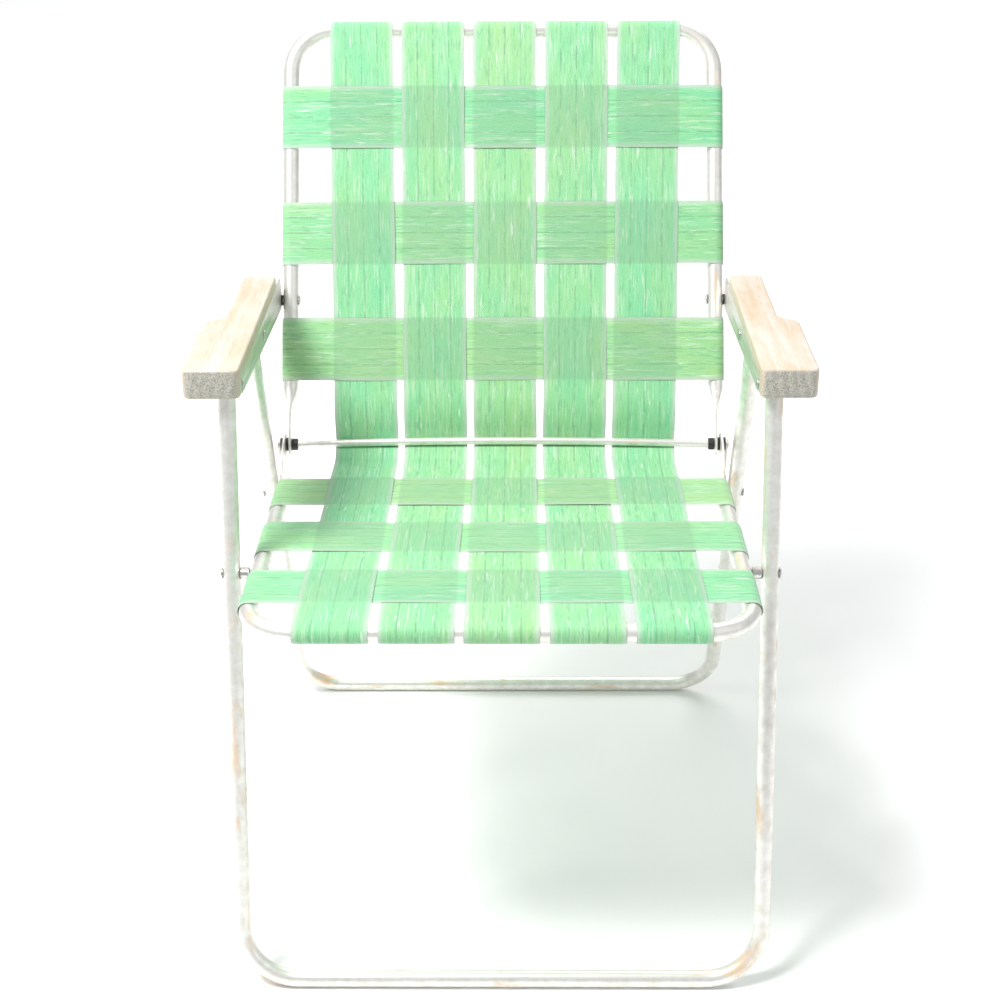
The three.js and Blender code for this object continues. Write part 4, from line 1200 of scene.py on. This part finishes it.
def sleeve_profile(outer):
    """A sleeve of length 1, stretched later, with its outer edges chamfered."""
    inner, chamfer, share = PIN_RADIUS + FIT, 0.5, 0.06
    return [(inner, 0.0), (outer - chamfer, 0.0), (outer, share), (outer, 1 - share),
            (outer - chamfer, 1.0), (inner, 1.0), (inner, 0.0)]


PIVOT_SHAPES = ("dome", "flat", "pin", "spacer", "washer", "collar", "screw")


def pivot_shapes():
    """A collection of the turned shapes, in the order of PIVOT_SHAPES."""
    pivot = bpy.context.scene.chair_pivot
    high, r = pivot.head_height / MM, HEAD_RADIUS
    dome = [(r * math.cos(t), high * (0.3 + 0.7 * math.sin(t)))
            for t in np.linspace(0, math.radians(86), 7)]
    profiles = {
        "dome": [(CORE, 0.0), (r, 0.0), *dome],
        # The rolled end of a tubular rivet: a rim round a dark recess
        "flat": [(CORE, -2.4), (1.9, -2.4), (2.0, 0.9), (2.5, 1.5), (3.4, 1.75), (4.6, 1.6),
                 (5.6, 1.0), (r, 0.25), (r, 0.0), (PIN_RADIUS, 0.0), (CORE, -3.0)],
        "pin": [(CORE, 0.0), (PIN_RADIUS, 0.0), (PIN_RADIUS, 1.0), (CORE, 1.0)],
        "spacer": sleeve_profile(pivot.spacer_radius / MM),
        "washer": sleeve_profile(pivot.washer_radius / MM),
        "collar": sleeve_profile(pivot.collar_radius / MM),
        # A recessed head with the screw's shank behind it
        "screw": [(CORE, 0.5), (0.9, 0.5), (1.1, 1.3), (2.4, 1.6), (3.6, 1.1), (4.0, 0.4),
                  (4.0, 0.0), (2.0, 0.0), (2.0, -8.0), (CORE, -10.0)],
    }
    shapes = bpy.data.collections.new("Pivot shapes")
    bpy.context.scene.collection.children.link(shapes)
    for i, key in enumerate(PIVOT_SHAPES):
        name = f"shape_{i}_{key}"
        shapes.objects.link(bpy.data.objects.new(name, turned_mesh(name, profiles[key])))
    return shapes


def pivot_tree():
    """Sets the shape that each point names on it, turned and stretched as the point says."""
    tree = bpy.data.node_groups.new("Turned pieces on points", "GeometryNodeTree")
    for label, kind in (("Points", "NodeSocketGeometry"), ("Shapes", "NodeSocketCollection"),
                        ("Finish", "NodeSocketMaterial")):
        tree.interface.new_socket(label, in_out="INPUT", socket_type=kind)
    tree.interface.new_socket("Pieces", in_out="OUTPUT", socket_type="NodeSocketGeometry")
    given = node(tree, "NodeGroupInput").outputs
    shapes = node(tree, "GeometryNodeCollectionInfo", {
        "Collection": given["Shapes"], "Separate Children": True,
        "Reset Children": True}).outputs[0]

    turn, shape, stretch = (
        node(tree, "GeometryNodeInputNamedAttribute", {"Name": name},
             data_type=kind).outputs["Attribute"]
        for name, kind in (
            ("turn", "FLOAT_VECTOR"), ("shape", "INT"), ("stretch", "FLOAT_VECTOR"),
        )
    )
    turn = node(tree, "FunctionNodeEulerToRotation", {0: turn}).outputs[0]
    placed = node(tree, "GeometryNodeInstanceOnPoints", {
        "Points": given["Points"], "Instance": shapes, "Pick Instance": True,
        "Instance Index": shape, "Rotation": turn, "Scale": stretch}).outputs[0]
    made = node(tree, "GeometryNodeRealizeInstances", {"Geometry": placed}).outputs[0]
    made = node(tree, "GeometryNodeSetMaterial", {
        "Geometry": made, "Material": given["Finish"]}).outputs[0]
    node(tree, "NodeGroupOutput", {0: made})
    return tree


def turned_pieces(name, tools, body, slot, kind, entries, nodes):
    """Places each entry, [shape, point, stretch, turn], and makes one mesh for the body."""
    shapes, tree = tools
    mesh = bpy.data.meshes.new(name + "_points")
    mesh.from_pydata(to_row([e[1] for e in entries]).tolist(), [], [])
    which = mesh.attributes.new("shape", "INT", "POINT")
    which.data.foreach_set("value", [PIVOT_SHAPES.index(e[0]) for e in entries])
    for key, place in (("stretch", 2), ("turn", 3)):
        layer = mesh.attributes.new(key, "FLOAT_VECTOR", "POINT")
        layer.data.foreach_set("vector", np.array([e[place] for e in entries], float).ravel())
    points = bpy.data.objects.new(name + "_points", mesh)
    bpy.context.scene.collection.objects.link(points)
    run_tree(points, tree, {"Shapes": shapes, "Finish": finish(kind)})
    made = made_plain(points, name, None, SHARP_TURNED)
    seat_on(made, body, slot, *nodes)


def head(shape, side, x, place, away=True):
    """A rivet's head whose base is x from the middle, looking away from it or back."""
    facing = side if away else -side
    return (shape, at(side * x, place), (1, 1, 1), (0, 0, 0 if facing > 0 else math.pi))


def bar(shape, side, start, end, place):
    """A pin or sleeve between two distances from the middle."""
    return (shape, at(side * start, place), (end - start, 1, 1),
            (0, 0, 0 if side > 0 else math.pi))


def arm_pivots(name, side, tools):
    """Rivets, washers and screws that move with one arm."""
    arm = f"arm_assembly_{name}"
    entries = []
    for place in (ARM_FRONT_PIVOT, ARM_REAR_PIVOT):
        entries += [
            head("flat", side, RAIL_INNER - FIT, place, away=False),
            bar("pin", side, RAIL_INNER - FIT, LEG_OUTER, place),
            head("dome", side, LEG_OUTER, place),
            bar("washer", side, ANGLE_OUTER, LEG_INNER, place),
        ]
    screw_turn = Matrix.Rotation(ARM_TILT, 3, "X") @ Matrix.Rotation(math.pi / 2, 3, "Y")
    for share in SCREW_SHARES:
        place = in_arm(RAIL_INNER + SCREW_OUT, share * ARM_LENGTH - ARM_OVERHANG, SCREW_HEIGHT)
        entries.append(("screw", place * [side, 1, 1], (1, 1, 1), tuple(screw_turn.to_euler())))
    turned_pieces(f"arm_{name}_rivets", tools, arm, "rivet", "rivet", entries, [
        f"front_leg_rivet_{name}", f"rear_leg_rivet_{name}", f"front_leg_washer_{name}",
        f"rear_leg_washer_{name}", f"arm_screw_front_{name}", f"arm_screw_rear_{name}"])


def rod_and_pivots(tools):
    """Rivets and sleeves that move with the back, the seat, the front and the rear legs."""
    tab_face = RAIL_X - TAB_HALF_THICKNESS
    seat_tab = RAIL_X + SEAT_TAB_SHIFT
    bright, black, front, rear = [], [], [], []
    for _, side in SIDES:
        bright += [
            head("dome", side, TUBE_INNER, ARM_BACK_PIVOT, away=False),
            bar("pin", side, TUBE_INNER, ANGLE_OUTER, ARM_BACK_PIVOT),
            head("flat", side, ANGLE_OUTER, ARM_BACK_PIVOT),
        ]
        black += [
            bar("spacer", side, TUBE_OUTER, RAIL_INNER - FIT, ARM_BACK_PIVOT),
            bar("collar", side, ROD_HALF + 2 * FIT, tab_face - FIT, ROD),
            bar("washer", side, tab_face + 2 * TAB_HALF_THICKNESS + FIT,
                seat_tab - TAB_HALF_THICKNESS - FIT, ROD),
            bar("washer", side, seat_tab + TAB_HALF_THICKNESS + FIT, LINK_INNER - FIT, ROD),
        ]
        for entries, start, place in (
            (front, TUBE_OUTER, SEAT_PIVOT), (rear, LINK_OUTER, LINK_PIVOT),
        ):
            entries += [
                bar("pin", side, start, LEG_OUTER, place),
                head("dome", side, LEG_OUTER, place),
                bar("spacer", side, start, LEG_INNER, place),
            ]
    both = [name for name, _ in SIDES]
    inner_ends = [head("dome", side, TUBE_INNER, SEAT_PIVOT, away=False) for _, side in SIDES]
    turned_pieces("seat_pivot_ends", tools, "seat", "rivet", "rivet", inner_ends, [])
    turned_pieces("back_rivets", tools, "back", "rivet", "rivet", bright,
                  [f"back_rivet_{n}" for n in both])
    turned_pieces("black_collars", tools, "back", "spacer", "nylon", black, [
        f"{k}_{n}" for k in ("back_spacer", "rod_collar", "rod_washer", "link_washer")
        for n in both])
    turned_pieces("seat_pivots", tools, "front_legs", "rivet", "rivet", front, [
        f"{k}_{n}" for k in ("seat_rivet", "seat_spacer") for n in both])
    turned_pieces("link_pivots", tools, "rear_legs", "rivet", "rivet", rear, [
        f"{k}_{n}" for k in ("link_rivet", "link_spacer") for n in both])


def cross_rod():
    """The bowed bar with a thin pin and a set head at each end."""
    shares = np.linspace(-1, 1, ROD_RINGS)
    bowed = [(at(t * ROD_HALF, on_back(ROD_BOW * (1 - t * t))), ROD_RADIUS) for t in shares]
    ends = [
        (ROD_HALF + FIT, PIN_RADIUS), (LINK_OUTER - 0.1, PIN_RADIUS), (LINK_OUTER, HEAD_RADIUS),
        (LINK_OUTER + 1.0, HEAD_RADIUS), (LINK_OUTER + 1.8, HEAD_RADIUS * 0.7),
    ]
    rings = [(at(-x, ROD), r) for x, r in reversed(ends)] + bowed + [
        (at(x, ROD), r) for x, r in ends]
    points, faces, lie = lofted(
        [(p, r, r, ROUND) for p, r in rings], at(0, BACK_AHEAD), ROD_FACETS)
    made = put_mesh("cross_rod_bar", points, faces, "tube", {"lie": lie})
    seat_on(made, "back", "rod", "cross_rod")


# Back and seat frames


def shaped_frame(name, body, rings, path, normal, nodes):
    """A frame tube: a shaped end, the U, and the same end on the other side."""
    stations = [*rings(-1), *[round_ring(p) for p in path], *reversed(rings(1))]
    facets = bpy.context.scene.chair_tube.facets
    points, faces, lie = lofted(stations, normal, facets)
    made = put_mesh(name, points, faces, "tube", {"lie": lie})
    seat_on(made, body, "tube", *nodes)


def back_frame():
    def rings(side):
        def place(height):
            return at(side * RAIL_X, on_back(height))
        return [*tab_rings(place, BACK_TAB, TAB_CORNERS + TAB_STRAIGHT),
                *funnel_rings(place, BACK_TAB, BACK_FUNNEL)]

    ends = [at(s * RAIL_X, on_back(BACK_TAB + BACK_FUNNEL + TUBE_START)) for s in (-1, 1)]
    corners = [at(s * RAIL_X, on_back(BACK_LENGTH)) for s in (-1, 1)]
    path = u_path(ends[0], corners[0], corners[1], ends[1],
                  bpy.context.scene.chair_tube.back_bend / MM)
    shaped_frame("back_tube", "back", rings, path, at(0, BACK_AHEAD), ["back_frame"])


def seat_frame():
    tab_x = RAIL_X + SEAT_TAB_SHIFT
    middle = SEAT_TAB + SEAT_FUNNEL / 2

    def drop(ahead):
        """How far the tube's axis lies under the rod: the tab rises from the rail to it."""
        t = smooth_step((ahead - TAB_END / 2) / (middle - TAB_END / 2))
        return -ROD_OVER_RAIL * float(t)

    def rings(side):
        def place(ahead):
            share = float(smooth_step((ahead - SEAT_TAB) / SEAT_FUNNEL))
            x = tab_x + (RAIL_X - tab_x) * share
            return at(side * x, on_seat(ahead, drop(ahead)))
        straight_tab = [(place(a), TAB_HALF_WIDTH, TAB_HALF_THICKNESS, FLAT)
                        for a in np.linspace(*SEAT_TAB_RINGS)]
        return [*tab_rings(place, SEAT_TAB, TAB_CORNERS), *straight_tab,
                *funnel_rings(place, SEAT_TAB, SEAT_FUNNEL)]

    start = SEAT_TAB + SEAT_FUNNEL + TUBE_START
    ends = [at(s * RAIL_X, on_seat(start, -ROD_OVER_RAIL)) for s in (-1, 1)]
    corners = [at(s * RAIL_X, on_seat(SEAT_LENGTH, -ROD_OVER_RAIL)) for s in (-1, 1)]
    path = u_path(ends[0], corners[0], corners[1], ends[1],
                  bpy.context.scene.chair_tube.seat_bend / MM)
    shaped_frame("seat_tube", "seat", rings, path, at(0, SEAT_UP), ["seat_frame"])


# Operators


class CHAIR_OT_legs(bpy.types.Operator):
    """Bend the front and rear leg frames from tube"""

    bl_idname = "chair.legs"
    bl_label = "Leg frames"

    def execute(self, context):
        sizes, tree = context.scene.chair_tube, bent_tube_tree()
        for name, body, top, foot, past, bend in (
            ("front_leg_tube", "front_legs", ARM_FRONT_PIVOT, FRONT_FOOT, FRONT_LEG_END,
             sizes.foot_bend),
            ("rear_leg_tube", "rear_legs", ARM_REAR_PIVOT, REAR_FOOT, REAR_LEG_END,
             sizes.rear_bend),
        ):
            made = leg_frame(name, tree, top, foot, past, bend, sizes.facets)
            seat_on(made, body, "tube", name.replace("tube", "frame"))
        return {"FINISHED"}


class CHAIR_OT_frames(bpy.types.Operator):
    """Bend the seat and back frames and crimp their ends"""

    bl_idname = "chair.frames"
    bl_label = "Seat and back frames"

    def execute(self, context):
        back_frame()
        seat_frame()
        return {"FINISHED"}


class CHAIR_OT_rod_and_pivots(bpy.types.Operator):
    """Turn the cross rod, rivets, washers, sleeves and screws"""

    bl_idname = "chair.rod_and_pivots"
    bl_label = "Rod and pivots"

    def execute(self, context):
        cross_rod()
        shapes = pivot_shapes()
        tools = (shapes, pivot_tree())
        rod_and_pivots(tools)
        for name, side in SIDES:
            arm_pivots(name, side, tools)
        for shape in list(shapes.objects):
            bpy.data.objects.remove(shape)
        bpy.data.collections.remove(shapes)
        return {"FINISHED"}


class CHAIR_OT_arms(bpy.types.Operator):
    """Shape the wooden arms, their rails and the rear links"""

    bl_idname = "chair.arms"
    bl_label = "Arms, rails and links"

    def execute(self, context):
        for name, side in SIDES:
            wooden_arm(name, side)
            eased_copy(f"arm_rail_{name}", f"arm_{name}_rail", "plate",
                       f"arm_assembly_{name}", "rail")
            eased_copy(f"link_{name}", f"link_{name}_bar", "plate", f"link_{name}", "link")
        return {"FINISHED"}


class CHAIR_OT_webbing(bpy.types.Operator):
    """Weave the long and cross straps"""

    bl_idname = "chair.webbing"
    bl_label = "Webbing"

    def execute(self, context):
        for i in range(len(COLUMNS)):
            long_strap(i)
        for i in range(len(BACK_CROSSES)):
            cross_strap("back", i, on_back, BACK_CROSSES, back_column, BACK_WEAVE,
                        back_dip, BACK_AHEAD, at(0, BACK_UP))
            cross_strap("seat", i, lambda u, v: on_seat(u, v - ROD_OVER_RAIL), SEAT_CROSSES,
                        seat_column, SEAT_WEAVE, seat_dip, SEAT_UP, at(0, SEAT_AHEAD))
        return {"FINISHED"}


class CHAIR_OT_stage(bpy.types.Operator):
    """Set the floor, the soft lights and the camera"""

    bl_idname = "chair.stage"
    bl_label = "Stage"

    def execute(self, context):
        stage = context.scene.chair_stage
        mesh = bpy.data.meshes.new("floor")
        corners = ((-1, -1), (1, -1), (1, 1), (-1, 1))
        mesh.from_pydata([(x * FLOOR_REACH, y * FLOOR_REACH, 0) for x, y in corners],
                         [], [(0, 1, 2, 3)])
        mesh.materials.append(pale_floor(stage.floor_colour))
        floor = bpy.data.objects.new("floor", mesh)
        context.scene.collection.objects.link(floor)
        for name, place, size, share in LIGHTS:
            light = bpy.data.lights.new(name, "AREA")
            light.size, light.energy = size, stage.key_power * share
            lamp = bpy.data.objects.new(name, light)
            lamp.location = place
            look = Vector((0.0, max(place[1], 0.0), LIGHTS_AIM)) - lamp.location
            lamp.rotation_euler = look.to_track_quat("-Z", "Y").to_euler()
            context.scene.collection.objects.link(lamp)
        world = bpy.data.worlds.new("Studio")
        world.use_nodes = True
        world.node_tree.nodes["Background"].inputs[0].default_value = linear("#f4f6f8")
        world.node_tree.nodes["Background"].inputs[1].default_value = SKY_STRENGTH
        context.scene.world = world
        context.scene.view_settings.view_transform = "Standard"
        camera = bpy.data.cameras.new("camera")
        camera.lens, camera.sensor_width = stage.lens / MM, SENSOR_WIDTH
        view = bpy.data.objects.new("camera", camera)
        turn = Matrix(CAMERA_AXES).transposed().to_4x4()
        view.matrix_world = Matrix.Translation(CAMERA_PLACE) @ turn
        context.scene.collection.objects.link(view)
        context.scene.camera = view
        return {"FINISHED"}


class CHAIR_PT_panel(bpy.types.Panel):
    """Buttons for the chair's pieces and its stage"""

    bl_idname = "CHAIR_PT_panel"
    bl_label = "Lawn chair"
    bl_space_type = "VIEW_3D"
    bl_region_type = "UI"
    bl_category = "Lawn chair"

    def draw(self, context):
        for operator in OPERATORS:
            self.layout.operator(operator.bl_idname)
        for group, settings in SETTINGS:
            box = self.layout.box()
            for key in settings.__annotations__:
                box.prop(getattr(context.scene, group), key)


OPERATORS = (
    CHAIR_OT_legs, CHAIR_OT_frames, CHAIR_OT_rod_and_pivots, CHAIR_OT_arms, CHAIR_OT_webbing,
    CHAIR_OT_stage,
)
SETTINGS = (
    ("chair_tube", ChairTube), ("chair_webbing", ChairWebbing), ("chair_arm", ChairArm),
    ("chair_pivot", ChairPivot), ("chair_stage", ChairStage),
)


def register():
    for group, settings in SETTINGS:
        bpy.utils.register_class(settings)
        setattr(bpy.types.Scene, group, bpy.props.PointerProperty(type=settings))
    for shown in (*OPERATORS, CHAIR_PT_panel):
        bpy.utils.register_class(shown)


def unregister():
    for shown in reversed((*OPERATORS, CHAIR_PT_panel)):
        bpy.utils.unregister_class(shown)
    for group, settings in reversed(SETTINGS):
        delattr(bpy.types.Scene, group)
        bpy.utils.unregister_class(settings)


def main():
    register()
    bpy.ops.chair.legs()
    bpy.ops.chair.frames()
    bpy.ops.chair.rod_and_pivots()
    bpy.ops.chair.arms()
    bpy.ops.chair.webbing()
    bpy.ops.chair.stage()


if __name__ == "__main__":
    main()
